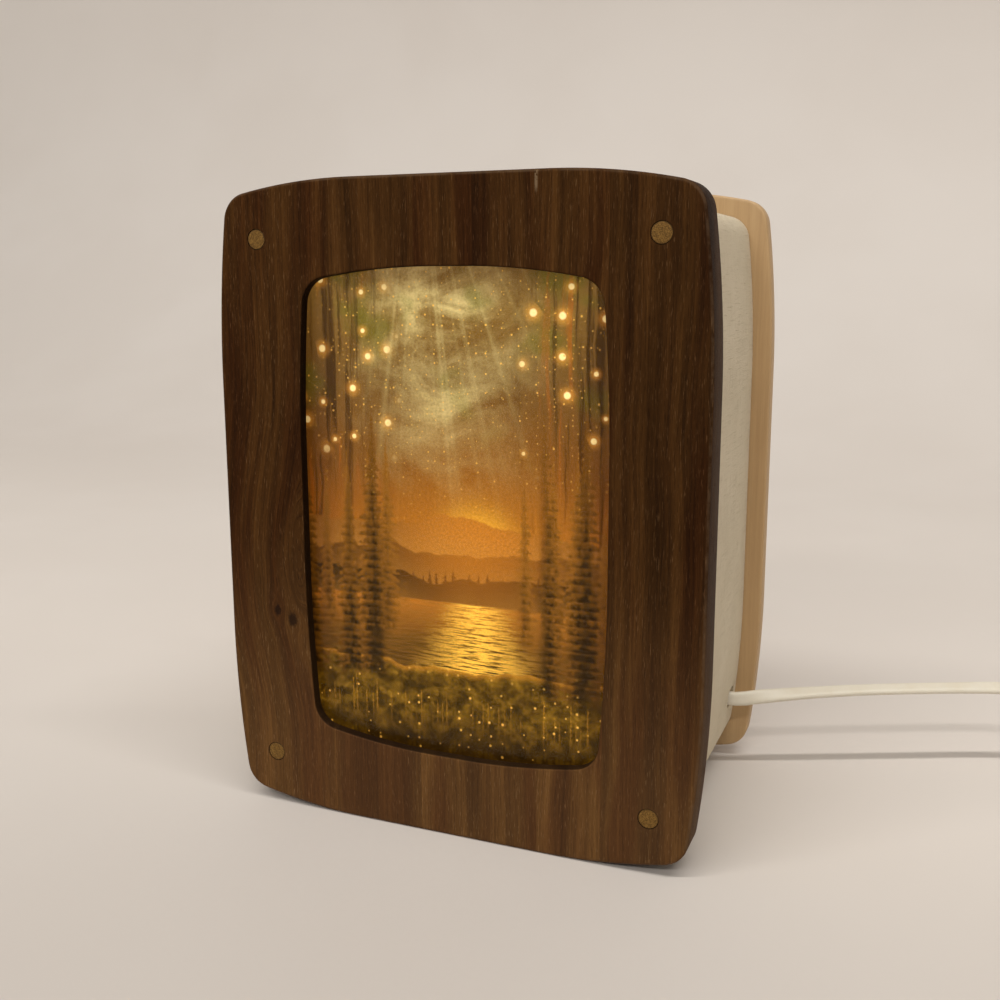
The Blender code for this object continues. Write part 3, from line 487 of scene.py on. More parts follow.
def coilLine(perTurn=30):
    c = cordLine
    perLayer = c["coilTurns"] / c["coilLayers"]
    swing = c["coilPitch"] * perLayer
    count = round(c["coilTurns"] * perTurn)
    line = []
    for step in range(count + 1):
        turn = c["coilTurns"] * step / count
        layer = min(c["coilLayers"] - 1, int(turn / perLayer))
        into = turn / perLayer - layer
        inward = into if layer % 2 == 0 else 1 - into
        radius = c["coilRadius"] + swing * (0.5 - inward)
        climb = 0
        for k in range(1, c["coilLayers"]):
            share = min(1.0, max(0.0, (turn - perLayer * k) / 0.5 + 0.5))
            climb += share * share * (3 - 2 * share)
        angle = -math.pi / 2 + turn * 2 * math.pi
        spot = Vector((c["coil"][0] + radius * math.cos(angle), c["coil"][1] + radius * math.sin(angle), c["coilBase"] + climb * c["coilLayer"]))
        line.append((spot, 0.0))
    for end, inner in ((0, 1), (-1, -2)):
        run = (line[end][0] - line[inner][0]).normalized()
        run.z = 0
        extra = (line[end][0] + run * c["width"], 0.0)
        line = [extra, *line] if end == 0 else [*line, extra]
    return line


def wholeCordLine():
    c = cordLine
    leave = Vector(c["exit"])
    place = Vector(c["switch"])
    nearMouth = place + Vector((0, c["switchLength"] / 2, c["switchSplit"]))
    farMouth = place + Vector((0, -c["switchLength"] / 2, c["switchSplit"]))
    inward = Vector((0, c["entry"], 0))
    lead = [(Vector((c["clampX"], leave.y, leave.z)), -90), (leave + Vector((0.6, 0, 0)), -90)]
    lead += [(leave + Vector(p), t) for p, t in c["lead"]]
    lead += [(nearMouth + inward * 2.5, 0), (nearMouth + inward, 0), (nearMouth - inward, 0)]
    turns = coilLine()
    start = turns[0][0]
    heading = (turns[1][0] - start).normalized()
    link = [(farMouth + inward, 0), (farMouth - inward, 0)]
    link += [(place + Vector(p), t) for p, t in c["link"]]
    link += [(start - heading * (c["width"] + 0.3), 0)]
    end, before = turns[-1][0], turns[-2][0]
    run = (end - before).normalized()
    run.z = 0
    run.normalize()
    drop = end.z - c["plugHeight"]
    steps = ((0.18, 0.0), (0.4, 0.3), (0.6, 0.7), (0.82, 1.0), (1.02, 1.0))
    tail = [(end, 0)] + [(end + run * c["tail"] * a - Vector((0, 0, drop * d)), 0) for a, d in steps]
    line = smoothLine(lead) + smoothLine(link) + turns[:-1] + smoothLine(tail)
    return line, line[-1][0], run


def cordSection(count=20):
    # two cores side by side, with a shallow valley between them
    points = []
    for i in range(count):
        angle = 2 * math.pi * (i + 0.5) / count
        c, s = math.cos(angle), math.sin(angle)
        x = math.copysign(abs(c) ** 0.78, c) * cordLine["width"] / 2
        y = math.copysign(abs(s) ** 0.72, s) * cordLine["thickness"] / 2
        y *= 1 - 0.15 * math.exp(-((x / 0.75) ** 2))
        points.append((x, y))
    return points


def sweepCord(name, line, section, shared=0.0):
    places = [p * mm for p, _ in line]
    verts = []
    uvs = []
    walked = 0.0
    around = [0.0]
    for i in range(len(section)):
        a, b = section[i], section[(i + 1) % len(section)]
        around.append(around[-1] + math.hypot(b[0] - a[0], b[1] - a[1]))
    count = len(section)
    for i, place in enumerate(places):
        before = places[max(0, i - 1)]
        after = places[min(len(places) - 1, i + 1)]
        run = (after - before).normalized()
        level = run.cross(Vector((0, 0, 1)))
        side = level.normalized() if level.length > 0.08 or not i else side
        up = side.cross(run)
        turn = math.radians(line[i][1])
        wide = side * math.cos(turn) + up * math.sin(turn)
        thick = up * math.cos(turn) - side * math.sin(turn)
        if i:
            walked += (place - places[i - 1]).length
        verts += [place + wide * x * mm + thick * y * mm for x, y in section]
        uvs.append(walked * 1000)
    faces = []
    faceUv = []
    for r in range(len(places) - 1):
        for i in range(count):
            j = (i + 1) % count
            faces.append((r * count + i, r * count + j, (r + 1) * count + j, (r + 1) * count + i))
            faceUv += [(around[i], uvs[r]), (around[i + 1], uvs[r]), (around[i + 1], uvs[r + 1]), (around[i], uvs[r + 1])]
    last = (len(places) - 1) * count
    faces += [tuple(reversed(range(count))), tuple(last + i for i in range(count))]
    faceUv += [(0, 0)] * (2 * count)
    mesh = bpy.data.meshes.new(name)
    mesh.from_pydata(verts, [], faces)
    layer = mesh.uv_layers.new(name="UVMap")
    layer.data.foreach_set("uv", [c for uv in faceUv for c in uv])
    obj = bpy.data.objects.new(name, mesh)
    bpy.context.scene.collection.objects.link(obj)
    form = bmesh.new()
    form.from_mesh(mesh)
    bmesh.ops.recalc_face_normals(form, faces=form.faces)
    form.to_mesh(mesh)
    form.free()
    shadeBy(obj, 50)
    return obj


cordPoints, plugStart, plugRun = wholeCordLine()
leadCord = sweepCord("leadCord", cordPoints, cordSection())
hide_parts("cord_to_switch", "cord_to_coil", "cord_coil", "cord_to_plug")
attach(leadCord, "lamp")


# grain shared by every wooden piece
def makeGrain():
    group, start, end = newGroup(
        "woodGrain",
        [
            ("Vector", "NodeSocketVector", None),
            ("Shift", "NodeSocketFloat", 0.0),
            ("Wander", "NodeSocketFloat", 2.0),
            ("Ring", "NodeSocketFloat", 0.35),
            ("Fine", "NodeSocketFloat", 1.0),
        ],
        [("Bands", "NodeSocketFloat"), ("Streaks", "NodeSocketFloat"), ("Pores", "NodeSocketFloat"), ("Tint", "NodeSocketFloat")],
    )
    x, y, z = split(group, start["Vector"])
    lift = calc(group, "MULTIPLY", start["Shift"], 173.0)
    zMoved = calc(group, "ADD", z, lift)
    slow = join(group, calc(group, "MULTIPLY", x, 0.035), calc(group, "MULTIPLY", y, 0.05), calc(group, "MULTIPLY", zMoved, 0.011))
    wave = calc(group, "MULTIPLY", calc(group, "SUBTRACT", noiseAt(group, slow, 1.0, 2.0), 0.5), start["Wander"])
    xMoved = calc(group, "ADD", x, calc(group, "MULTIPLY", wave, 4.0))
    across = calc(group, "ADD", xMoved, calc(group, "MULTIPLY", y, 0.6))
    ringAt = join(group, calc(group, "MULTIPLY", across, start["Ring"]), lift, calc(group, "MULTIPLY", zMoved, 0.004))
    feed(group, end["Bands"], noiseAt(group, ringAt, 1.0, 4.0, 0.62))
    fineX = calc(group, "MULTIPLY", across, calc(group, "MULTIPLY", start["Fine"], 1.7))
    streakAt = join(group, fineX, calc(group, "MULTIPLY", y, 0.9), calc(group, "MULTIPLY", zMoved, 0.035))
    feed(group, end["Streaks"], noiseAt(group, streakAt, 1.0, 5.0, 0.68))
    poreX = calc(group, "MULTIPLY", across, calc(group, "MULTIPLY", start["Fine"], 5.5))
    poreAt = join(group, poreX, calc(group, "MULTIPLY", y, 3.0), calc(group, "MULTIPLY", zMoved, 0.28))
    pores = noiseAt(group, poreAt, 1.0, 2.0, 0.5)
    feed(group, end["Pores"], spread(group, pores, 0.58, 0.72))
    tintAt = join(group, calc(group, "MULTIPLY", across, 0.11), lift, calc(group, "MULTIPLY", zMoved, 0.012))
    feed(group, end["Tint"], noiseAt(group, tintAt, 1.0, 2.0))
    return group


woodGrain = makeGrain()


def makeEdgeWear():
    group, start, end = newGroup(
        "edgeWear",
        [
            ("Vector", "NodeSocketVector", None),
            ("Edge", "NodeSocketFloat", 0.0),
            ("Colour", "NodeSocketColor", (0.5, 0.5, 0.5, 1)),
            ("Worn", "NodeSocketColor", (0.8, 0.8, 0.8, 1)),
            ("Amount", "NodeSocketFloat", 0.5),
        ],
        [("Colour", "NodeSocketColor"), ("Mask", "NodeSocketFloat")],
    )
    patchy = noiseAt(group, start["Vector"], 0.16, 4.0, 0.7)
    mask = calc(group, "MULTIPLY", spread(group, start["Edge"], 0.25, 1.0), spread(group, patchy, 0.3, 0.62))
    mask = calc(group, "MULTIPLY", mask, start["Amount"], clamp=True)
    feed(group, end["Colour"], blendColour(group, mask, start["Colour"], start["Worn"]))
    feed(group, end["Mask"], mask)
    return group


edgeWear = makeEdgeWear()


def edgeMark(tree):
    return put(tree, "ShaderNodeAttribute", attribute_name="edge").outputs["Fac"]


walnutLook = {
    "staves": [(-75.5, 0.12, 1.12), (-39.4, 0.57, 0.9), (-10.0, 0.29, 1.06), (8.0, 0.83, 0.94), (27.5, 0.41, 1.0), (46.6, 0.95, 0.86)],
    "tones": [
        (0.0, rgba(25, 13, 3)),
        (0.3, rgba(46, 27, 8)),
        (0.5, rgba(63, 39, 14)),
        (0.68, rgba(79, 51, 21)),
        (1.0, rgba(106, 74, 36)),
    ],
    "knots": [(-58.4, 64.2, 1.5), (-53.1, 61.6, 1.9)],
    "worn": rgba(104, 84, 64),
}


def makeWalnut():
    look = walnutLook
    material, tree, shader = newMaterial("oiledWalnut")
    p = objectMm(tree)
    x, y, z = split(tree, p)
    share = calc(tree, "DIVIDE", calc(tree, "ADD", x, 75.5), 151.0)
    places = [(max(0.0, (at + 75.5) / 151), shift, tone) for at, shift, tone in look["staves"]]
    shift = ramp(tree, share, [(at, (s, s, s)) for at, s, _ in places], "CONSTANT")
    tone = ramp(tree, share, [(at, (t / 1.2,) * 3) for at, _, t in places], "CONSTANT")
    bend = None
    knotMask = None
    for kx, kz, size in look["knots"]:
        dx = calc(tree, "SUBTRACT", x, kx)
        dz = calc(tree, "MULTIPLY", calc(tree, "SUBTRACT", z, kz), 0.62)
        away = calc(tree, "SQRT", calc(tree, "ADD", calc(tree, "MULTIPLY", dx, dx), calc(tree, "MULTIPLY", dz, dz)))
        ragged = calc(tree, "ADD", away, calc(tree, "MULTIPLY", calc(tree, "SUBTRACT", noiseAt(tree, p, 0.9, 3.0), 0.5), 1.6))
        spotMask = spread(tree, ragged, size, size * 0.45)
        push = calc(tree, "MULTIPLY", calc(tree, "DIVIDE", dx, calc(tree, "ADD", away, 0.6)), spread(tree, away, 9.0, 0.0, 0.0, 3.2))
        knotMask = spotMask if knotMask is None else calc(tree, "MAXIMUM", knotMask, spotMask)
        bend = push if bend is None else calc(tree, "ADD", bend, push)
    # the left stile's figure swings out to the side at mid height
    swing = calc(tree, "MULTIPLY", spread(tree, calc(tree, "ABSOLUTE", calc(tree, "SUBTRACT", z, 78.0)), 58.0, 0.0, 0.0, 7.0), spread(tree, x, -44.0, -52.0))
    moved = join(tree, calc(tree, "ADD", calc(tree, "SUBTRACT", x, bend), swing), y, z)
    grain = useGroup(tree, woodGrain, {"Vector": moved, "Shift": shift, "Wander": 1.6, "Ring": 0.2, "Fine": 1.0})
    value = calc(tree, "ADD", calc(tree, "MULTIPLY", grain["Bands"], 0.62), calc(tree, "MULTIPLY", grain["Streaks"], 0.5))
    value = calc(tree, "SUBTRACT", value, calc(tree, "MULTIPLY", grain["Pores"], 0.1))
    value = spread(tree, value, 0.22, 0.88, kind="LINEAR")
    colour = ramp(tree, value, look["tones"])
    dashes = noiseAt(tree, join(tree, calc(tree, "MULTIPLY", x, 4.6), calc(tree, "MULTIPLY", y, 3.0), calc(tree, "MULTIPLY", z, 0.34)), 1.0, 2.0, 0.5)
    colour = blendColour(tree, spread(tree, dashes, 0.6, 0.74, 0.0, 0.5), colour, rgba(120, 90, 58))
    warm = blendColour(tree, spread(tree, grain["Tint"], 0.42, 0.68, 0.0, 0.55), colour, rgba(112, 68, 34), "OVERLAY")
    olive = blendColour(tree, spread(tree, grain["Tint"], 0.5, 0.3, 0.0, 0.35), warm, rgba(92, 86, 50), "OVERLAY")
    toned = blendColour(tree, 1.0, olive, tone, "MULTIPLY")
    toned = blendColour(tree, 1.0, toned, (1.3, 1.26, 1.27, 1), "MULTIPLY")
    # paler towards the foot
    footTone = blendColour(tree, 1.0, toned, (2.4, 2.75, 2.95, 1), "MULTIPLY")
    footTone = blendColour(tree, 0.42, footTone, rgba(88, 63, 43))
    toned = blendColour(tree, spread(tree, z, 100.0, 14.0, 0.0, 0.85), toned, footTone)
    toned = blendColour(tree, calc(tree, "MULTIPLY", knotMask, 0.82), toned, rgba(30, 19, 12))
    # a pale fleck on the front's top arris
    fleckX = spread(tree, calc(tree, "ABSOLUTE", calc(tree, "SUBTRACT", x, 26.9)), 0.65, 0.1)
    fleckZ = spread(tree, z, 187.4, 190.0)
    fleck = calc(tree, "MULTIPLY", calc(tree, "MULTIPLY", fleckX, fleckZ), spread(tree, noiseAt(tree, p, 1.1, 3.0), 0.36, 0.5))
    fleck = calc(tree, "MULTIPLY", fleck, spread(tree, y, -47.2, -47.9))
    toned = blendColour(tree, calc(tree, "MULTIPLY", fleck, 0.6), toned, rgba(140, 118, 90))
    worn = useGroup(tree, edgeWear, {"Vector": p, "Edge": edgeMark(tree), "Colour": toned, "Worn": look["worn"], "Amount": 0.35})
    # painted shade: side walls are darkened by which way they face, and the window lip's inner wall darkest
    level = calc(tree, "ABSOLUTE", split(tree, put(tree, "ShaderNodeNewGeometry").outputs["True Normal"])[1])
    wall = spread(tree, level, 0.55, 0.1, 0.0, 0.3)
    inX = spread(tree, calc(tree, "ABSOLUTE", x), 49.0, 48.4)
    inZ = spread(tree, calc(tree, "ABSOLUTE", calc(tree, "SUBTRACT", z, 97.0)), 73.0, 72.4)
    lip = calc(tree, "MULTIPLY", calc(tree, "MULTIPLY", inX, inZ), spread(tree, level, 0.9, 0.4, 0.0, 0.8))
    shaded = blendColour(tree, calc(tree, "MAXIMUM", wall, lip), worn["Colour"], rgba(14, 9, 5))
    feed(tree, shader.inputs["Base Color"], shaded)
    rough = spread(tree, grain["Streaks"], 0.3, 0.75, 0.5, 0.64, "LINEAR")
    rough = calc(tree, "ADD", rough, calc(tree, "MULTIPLY", grain["Pores"], 0.12))
    feed(tree, shader.inputs["Roughness"], rough)
    shader.inputs["Specular IOR Level"].default_value = 0.04
    height = calc(tree, "SUBTRACT", calc(tree, "MULTIPLY", grain["Streaks"], 0.5), calc(tree, "MULTIPLY", grain["Pores"], 0.8))
    feed(tree, shader.inputs["Normal"], bumpFrom(tree, height, 0.00018, 0.55))
    return material


walnut = makeWalnut()


def makePaleWood(name, tones, shift, contrast=(0.3, 0.75), plies=None, rough=(0.5, 0.65), grainAlongX=False):
    material, tree, shader = newMaterial(name)
    p = objectMm(tree)
    x, y, z = split(tree, p)
    laid = join(tree, z, y, x) if grainAlongX else p
    grain = useGroup(tree, woodGrain, {"Vector": laid, "Shift": shift, "Wander": 1.0, "Ring": 0.16, "Fine": 0.8})
    value = calc(tree, "ADD", calc(tree, "MULTIPLY", grain["Bands"], 0.5), calc(tree, "MULTIPLY", grain["Streaks"], 0.5))
    value = spread(tree, value, contrast[0], contrast[1], kind="LINEAR")
    colour = ramp(tree, value, tones)
    colour = blendColour(tree, calc(tree, "MULTIPLY", grain["Pores"], 0.25), colour, tones[0][1])
    if plies:
        # the sheet's layers, seen on its cut edges
        first, thick, count = plies
        layer = calc(tree, "FRACT", calc(tree, "MULTIPLY", calc(tree, "DIVIDE", calc(tree, "SUBTRACT", y, first), thick), count / 2))
        dark = spread(tree, calc(tree, "ABSOLUTE", calc(tree, "SUBTRACT", layer, 0.5)), 0.24, 0.3)
        facing = calc(tree, "ABSOLUTE", split(tree, put(tree, "ShaderNodeNewGeometry").outputs["True Normal"])[1])
        sideOnly = calc(tree, "SUBTRACT", 1.0, spread(tree, facing, 0.4, 0.8))
        mask = calc(tree, "MULTIPLY", calc(tree, "MULTIPLY", dark, sideOnly), 0.5)
        colour = blendColour(tree, mask, colour, rgba(128, 94, 58))
    feed(tree, shader.inputs["Base Color"], colour)
    feed(tree, shader.inputs["Roughness"], spread(tree, grain["Streaks"], 0.3, 0.75, rough[0], rough[1], "LINEAR"))
    height = calc(tree, "SUBTRACT", calc(tree, "MULTIPLY", grain["Streaks"], 0.5), calc(tree, "MULTIPLY", grain["Pores"], 0.5))
    feed(tree, shader.inputs["Normal"], bumpFrom(tree, height, 0.0001, 0.4))
    return material


backBoardWood = makePaleWood(
    "tanBoard",
    [(0.0, rgba(166, 132, 90)), (0.5, rgba(186, 153, 109)), (1.0, rgba(200, 169, 126))],
    0.37,
    (0.2, 0.85),
)
birchPly = makePaleWood(
    "birchPly",
    [(0.0, rgba(186, 152, 108)), (0.5, rgba(208, 178, 134)), (1.0, rgba(224, 198, 158))],
    0.71,
    (0.25, 0.8),
    plies=(35.45, 6.0, 5),
)


# front frame: bowed board with a bowed window, eased all round, grain upright
frameSizes = {
    "window": {
        "halfWidth": 48 * mm,
        "halfHeight": 72 * mm,
        "sideFlat": 16 * mm,
        "sideBow": 2.86 * mm,
        "topFlat": 5 * mm,
        "topBow": 4.8 * mm,
        "corner": 8.2 * mm,
    },
    "arris": 1.0 * mm,
    "rearArris": 0.7 * mm,
    "windowArris": 0.55 * mm,
    "lip": 3.2 * mm,
    "pocket": (52.8 * mm, 74.3 * mm, 2 * mm),
    "dowelHole": 3.06 * mm,
}


def arrisRings(makeLoop, depth, radius, away, steps=4):
    # rings that turn a quarter round an arris, from the side wall to the face at this depth
    rings = []
    for i in range(steps + 1):
        angle = math.pi / 2 * i / steps
        inset = radius * (1 - math.cos(angle))
        rings.append(standing(makeLoop(inset), depth + away * radius * (1 - math.sin(angle))))
    return rings


def makeFrontFrame():
    s = frameSizes
    shape = lampShape
    outer = lambda inset: bowedLoop(shape, inset)
    inner = lambda inset: bowedLoop(s["window"], inset)
    rings, marks = [], []

    def add(newRings, values):
        rings.extend(newRings)
        marks.extend(values)

    add(arrisRings(outer, shape["front"], s["arris"], 1), (0.3, 0.8, 1, 0.8, 0.2))
    add([standing(outer(s["arris"] + 0.35 * mm), shape["front"])], (0,))
    add([standing(inner(-s["windowArris"] - 0.3 * mm), shape["front"])], (0,))
    quarter = []
    for i in range(5):
        angle = math.pi / 2 * i / 4
        inset = -s["windowArris"] * (1 - math.sin(angle))
        quarter.append(standing(inner(inset), shape["front"] + s["windowArris"] * (1 - math.cos(angle))))
    add(quarter, (0.05, 0.3, 0.4, 0.2, 0))
    add([standing(inner(0), shape["front"] + s["windowArris"] + 0.3 * mm)], (0,))
    add([standing(inner(0), shape["frontRear"] - 0.2 * mm), standing(inner(-0.2 * mm), shape["frontRear"])], (0, 0.3))
    add([standing(outer(s["rearArris"] + 0.3 * mm), shape["frontRear"])], (0,))
    rear = arrisRings(outer, shape["frontRear"], s["rearArris"], -1)
    rear.reverse()
    add(rear, (0.2, 0.7, 0.9, 0.7, 0.2))
    piece = loft("walnutFrame", rings, wrap=True, marks=marks)
    halfW, halfH, corner = s["pocket"]
    pocket = roundLoop(halfW, halfH, corner, 6)
    cutter = loft("cutter", [standing(pocket, shape["front"] + s["lip"]), standing(pocket, shape["frontRear"] + 5 * mm)])
    combine(piece, cutter)
    for sx in (-1, 1):
        for sz in (-1, 1):
            hole = cylinderCutter(sx * shape["dowelSide"], shape["middle"] + sz * shape["dowelRise"], s["dowelHole"], shape["front"] - 5 * mm, shape["frontRear"] + 5 * mm)
            combine(piece, hole)
    shadeBy(piece, 32)
    return dress(piece, walnut)


walnutFrame = makeFrontFrame()
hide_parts("front_frame")
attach(walnutFrame, "front_panel")
print("front frame:", len(walnutFrame.data.polygons), "faces")


# back board
def makeBackBoard():
    shape = lampShape
    outer = lambda inset: bowedLoop(shape, inset)
    rings = [standing(outer(1.1 * mm), shape["backFront"])]
    front = arrisRings(outer, shape["backFront"], 0.7 * mm, 1)
    front.reverse()
    rings += front
    rings += arrisRings(outer, shape["rear"], 0.7 * mm, -1)
    rings += [standing(outer(1.1 * mm), shape["rear"])]
    marks = [0, 0.2, 0.7, 0.9, 0.7, 0.2, 0.2, 0.7, 0.9, 0.7, 0.2, 0]
    piece = loft("backBoard", rings, marks=marks)
    for sx in (-1, 1):
        for sz in (-1, 1):
            hole = cylinderCutter(sx * shape["dowelSide"], shape["middle"] + sz * shape["dowelRise"], 3.06 * mm, shape["backFront"] - 5 * mm, shape["rear"] + 5 * mm)
            combine(piece, hole)
    shadeBy(piece, 32)
    return dress(piece, backBoardWood)


backBoard = makeBackBoard()
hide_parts("back_plate")
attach(backBoard, "lamp")
print("back board done")


# shade band between the boards
bandSizes = {"inset": 6 * mm, "wall": 1.6 * mm, "corner": 8 * mm, "front": -35.95 * mm, "rear": 41.45 * mm, "edge": 0.35 * mm, "pitch": 0.62}


def makeLinen():
    material, tree, shader = newMaterial("linenWeave")
    uv = put(tree, "ShaderNodeUVMap", uv_map="UVMap").outputs[0]
    u, v, _ = split(tree, uv)
    loose = join(tree, calc(tree, "MULTIPLY", u, 0.35), calc(tree, "MULTIPLY", v, 0.35), 0.0)
    wobble = calc(tree, "MULTIPLY", calc(tree, "SUBTRACT", noiseAt(tree, loose, 1.0, 3.0), 0.5), 0.55)
    pitch = bandSizes["pitch"]
    su = calc(tree, "SINE", calc(tree, "MULTIPLY", calc(tree, "ADD", u, wobble), 2 * math.pi / pitch))
    sv = calc(tree, "SINE", calc(tree, "MULTIPLY", calc(tree, "ADD", v, wobble), 2 * math.pi / pitch))
    weave = calc(tree, "MULTIPLY", su, sv)
    threadsU = noiseAt(tree, join(tree, calc(tree, "MULTIPLY", u, 2.2), calc(tree, "MULTIPLY", v, 0.09), 0.0), 1.0, 3.0, 0.6)
    threadsV = noiseAt(tree, join(tree, calc(tree, "MULTIPLY", u, 0.09), calc(tree, "MULTIPLY", v, 2.2), 4.0), 1.0, 3.0, 0.6)
    slubs = calc(tree, "ADD", spread(tree, threadsU, 0.5, 0.78), spread(tree, threadsV, 0.5, 0.78))
    cloudy = noiseAt(tree, join(tree, calc(tree, "MULTIPLY", u, 0.05), calc(tree, "MULTIPLY", v, 0.05), 9.0), 1.0, 4.0, 0.6)
    base = ramp(tree, cloudy, [(0.25, rgba(206, 191, 161)), (0.55, rgba(212, 197, 168)), (0.85, rgba(218, 204, 177))])
    base = blendColour(tree, calc(tree, "MULTIPLY", slubs, 0.42), base, rgba(182, 163, 130))
    base = blendColour(tree, spread(tree, weave, 0.1, 0.9, 0.0, 0.3), base, rgba(236, 226, 205))
    base = blendColour(tree, calc(tree, "MULTIPLY", edgeMark(tree), 0.55), base, rgba(236, 226, 206))
    feed(tree, shader.inputs["Base Color"], base)
    shader.inputs["Roughness"].default_value = 0.86
    shader.inputs["Specular IOR Level"].default_value = 0.25
    shader.inputs["Sheen Weight"].default_value = 0.12
    height = calc(tree, "ADD", calc(tree, "MULTIPLY", weave, 0.35), calc(tree, "MULTIPLY", slubs, 0.8))
    height = calc(tree, "ADD", height, calc(tree, "MULTIPLY", cloudy, 0.3))
    feed(tree, shader.inputs["Normal"], bumpFrom(tree, height, 0.0002, 0.9))
    return material


linen = makeLinen()


def makeBand():
    s = bandSizes
    outer = lambda inset: bowedLoop(lampShape, s["inset"] + inset, s["corner"] - inset)
    deep = s["rear"] - s["front"]
    rings, marks, depth = [], [], []
    rows = 13
    e = s["edge"]
    rings += [standing(outer(e), s["front"]), standing(outer(e * 0.3), s["front"] + e * 0.3), standing(outer(0), s["front"] + e)]
    marks += [0.9, 1.0, 0.8]
    for i in range(rows):
        y = s["front"] + e + 0.5 * mm + (deep - 2 * e - 1 * mm) * i / (rows - 1)
        rings.append(standing(outer(0), y))
        marks.append(0.0)
    rings += [standing(outer(0), s["rear"] - e), standing(outer(e * 0.3), s["rear"] - e * 0.3), standing(outer(e), s["rear"])]
    marks += [0.8, 1.0, 0.9]
    rings += [standing(outer(s["wall"]), s["rear"]), standing(outer(s["wall"]), s["front"])]
    marks += [0.2, 0.2]
    piece = loft("shadeBand", rings, wrap=True, marks=marks)
    leave = Vector(cordLine["exit"]) * mm
    slotLoop = roundLoop(4.8 * mm, 3.3 * mm, 3.0 * mm, 8)
    centreY = leave.y - 3.2 * mm + 4.8 * mm
    near = [(leave.x - 4 * mm, centreY + a, leave.z + b) for a, b in slotLoop]
    far = [(leave.x + 4 * mm, centreY + a, leave.z + b) for a, b in slotLoop]
    combine(piece, loft("cutter", [near, far]))
    # distance round the band and its depth, in millimetres, for the weave
    mesh = piece.data
    layer = mesh.uv_layers.new(name="UVMap")
    middle = lampShape["middle"]
    for poly in mesh.polygons:
        base = None
        for li in poly.loop_indices:
            p = mesh.vertices[mesh.loops[li].vertex_index].co
            angle = math.atan2(p.z - middle, p.x)
            if base is not None:
                while angle - base > math.pi:
                    angle -= 2 * math.pi
                while angle - base < -math.pi:
                    angle += 2 * math.pi
            else:
                base = angle
            layer.data[li].uv = (perimeterAt(angle), p.y * 1000)
    shadeBy(piece, 32)
    return dress(piece, linen)


perimeterTable = []


def perimeterAt(angle):
    # walked distance round the band's outline at an angle, in millimetres
    if not perimeterTable:
        loop = bowedLoop(lampShape, bandSizes["inset"], bandSizes["corner"])
        walked = 0.0
        for i in range(len(loop) + 1):
            a = loop[i % len(loop)]
            if i:
                b = loop[i - 1]
                walked += math.hypot(a[0] - b[0], a[1] - b[1]) * 1000
            turn = math.atan2(a[1], a[0]) if i < len(loop) else 2 * math.pi
            perimeterTable.append((turn if turn >= 0 else turn + 2 * math.pi, walked))
        perimeterTable.append((2 * math.pi, walked))
    rounds = math.floor(angle / (2 * math.pi))
    rest = angle - rounds * 2 * math.pi
    total = perimeterTable[-1][1]
    for (a0, w0), (a1, w1) in zip(perimeterTable, perimeterTable[1:]):
        if a0 <= rest <= a1 and a1 > a0:
            return rounds * total + w0 + (w1 - w0) * (rest - a0) / (a1 - a0)
    return rounds * total + total


shadeBand = makeBand()
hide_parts("shade_band")
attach(shadeBand, "lamp")
print("shade band:", len(shadeBand.data.polygons), "faces")


# dowels, flush with both boards
def makeEndGrain():
    material, tree, shader = newMaterial("dowelEndGrain")
    p = objectMm(tree)
    x, y, z = split(tree, p)
    cell = 61.0
    lx = calc(tree, "SUBTRACT", calc(tree, "ABSOLUTE", x), cell)
    lz = calc(tree, "SUBTRACT", calc(tree, "ABSOLUTE", calc(tree, "SUBTRACT", z, 97.0)), 80.0)
    away = calc(tree, "SQRT", calc(tree, "ADD", calc(tree, "MULTIPLY", lx, lx), calc(tree, "MULTIPLY", lz, lz)))
    across = calc(tree, "ADD", calc(tree, "MULTIPLY", lx, 0.8), calc(tree, "MULTIPLY", lz, 0.6))
    rings = calc(tree, "SINE", calc(tree, "ADD", calc(tree, "MULTIPLY", across, 3.4), calc(tree, "MULTIPLY", noiseAt(tree, p, 0.35, 2.0), 9.0)))
    dots = noiseAt(tree, join(tree, calc(tree, "MULTIPLY", x, 4.2), calc(tree, "MULTIPLY", y, 0.15), calc(tree, "MULTIPLY", z, 4.2)), 1.0, 3.0, 0.7)
    value = calc(tree, "ADD", calc(tree, "MULTIPLY", spread(tree, rings, -1.0, 1.0), 0.04), calc(tree, "MULTIPLY", dots, 0.95))
    colour = ramp(tree, value, [(0.34, rgba(66, 46, 16)), (0.5, rgba(106, 76, 32)), (0.66, rgba(146, 110, 54))])
    colour = blendColour(tree, spread(tree, away, 2.5, 2.95, 0.0, 0.8), colour, rgba(58, 40, 24))
    feed(tree, shader.inputs["Base Color"], colour)
    shader.inputs["Roughness"].default_value = 0.6
    shader.inputs["Specular IOR Level"].default_value = 0.15
    feed(tree, shader.inputs["Normal"], bumpFrom(tree, dots, 0.0001, 0.5))
    return material


dowelWood = makeEndGrain()


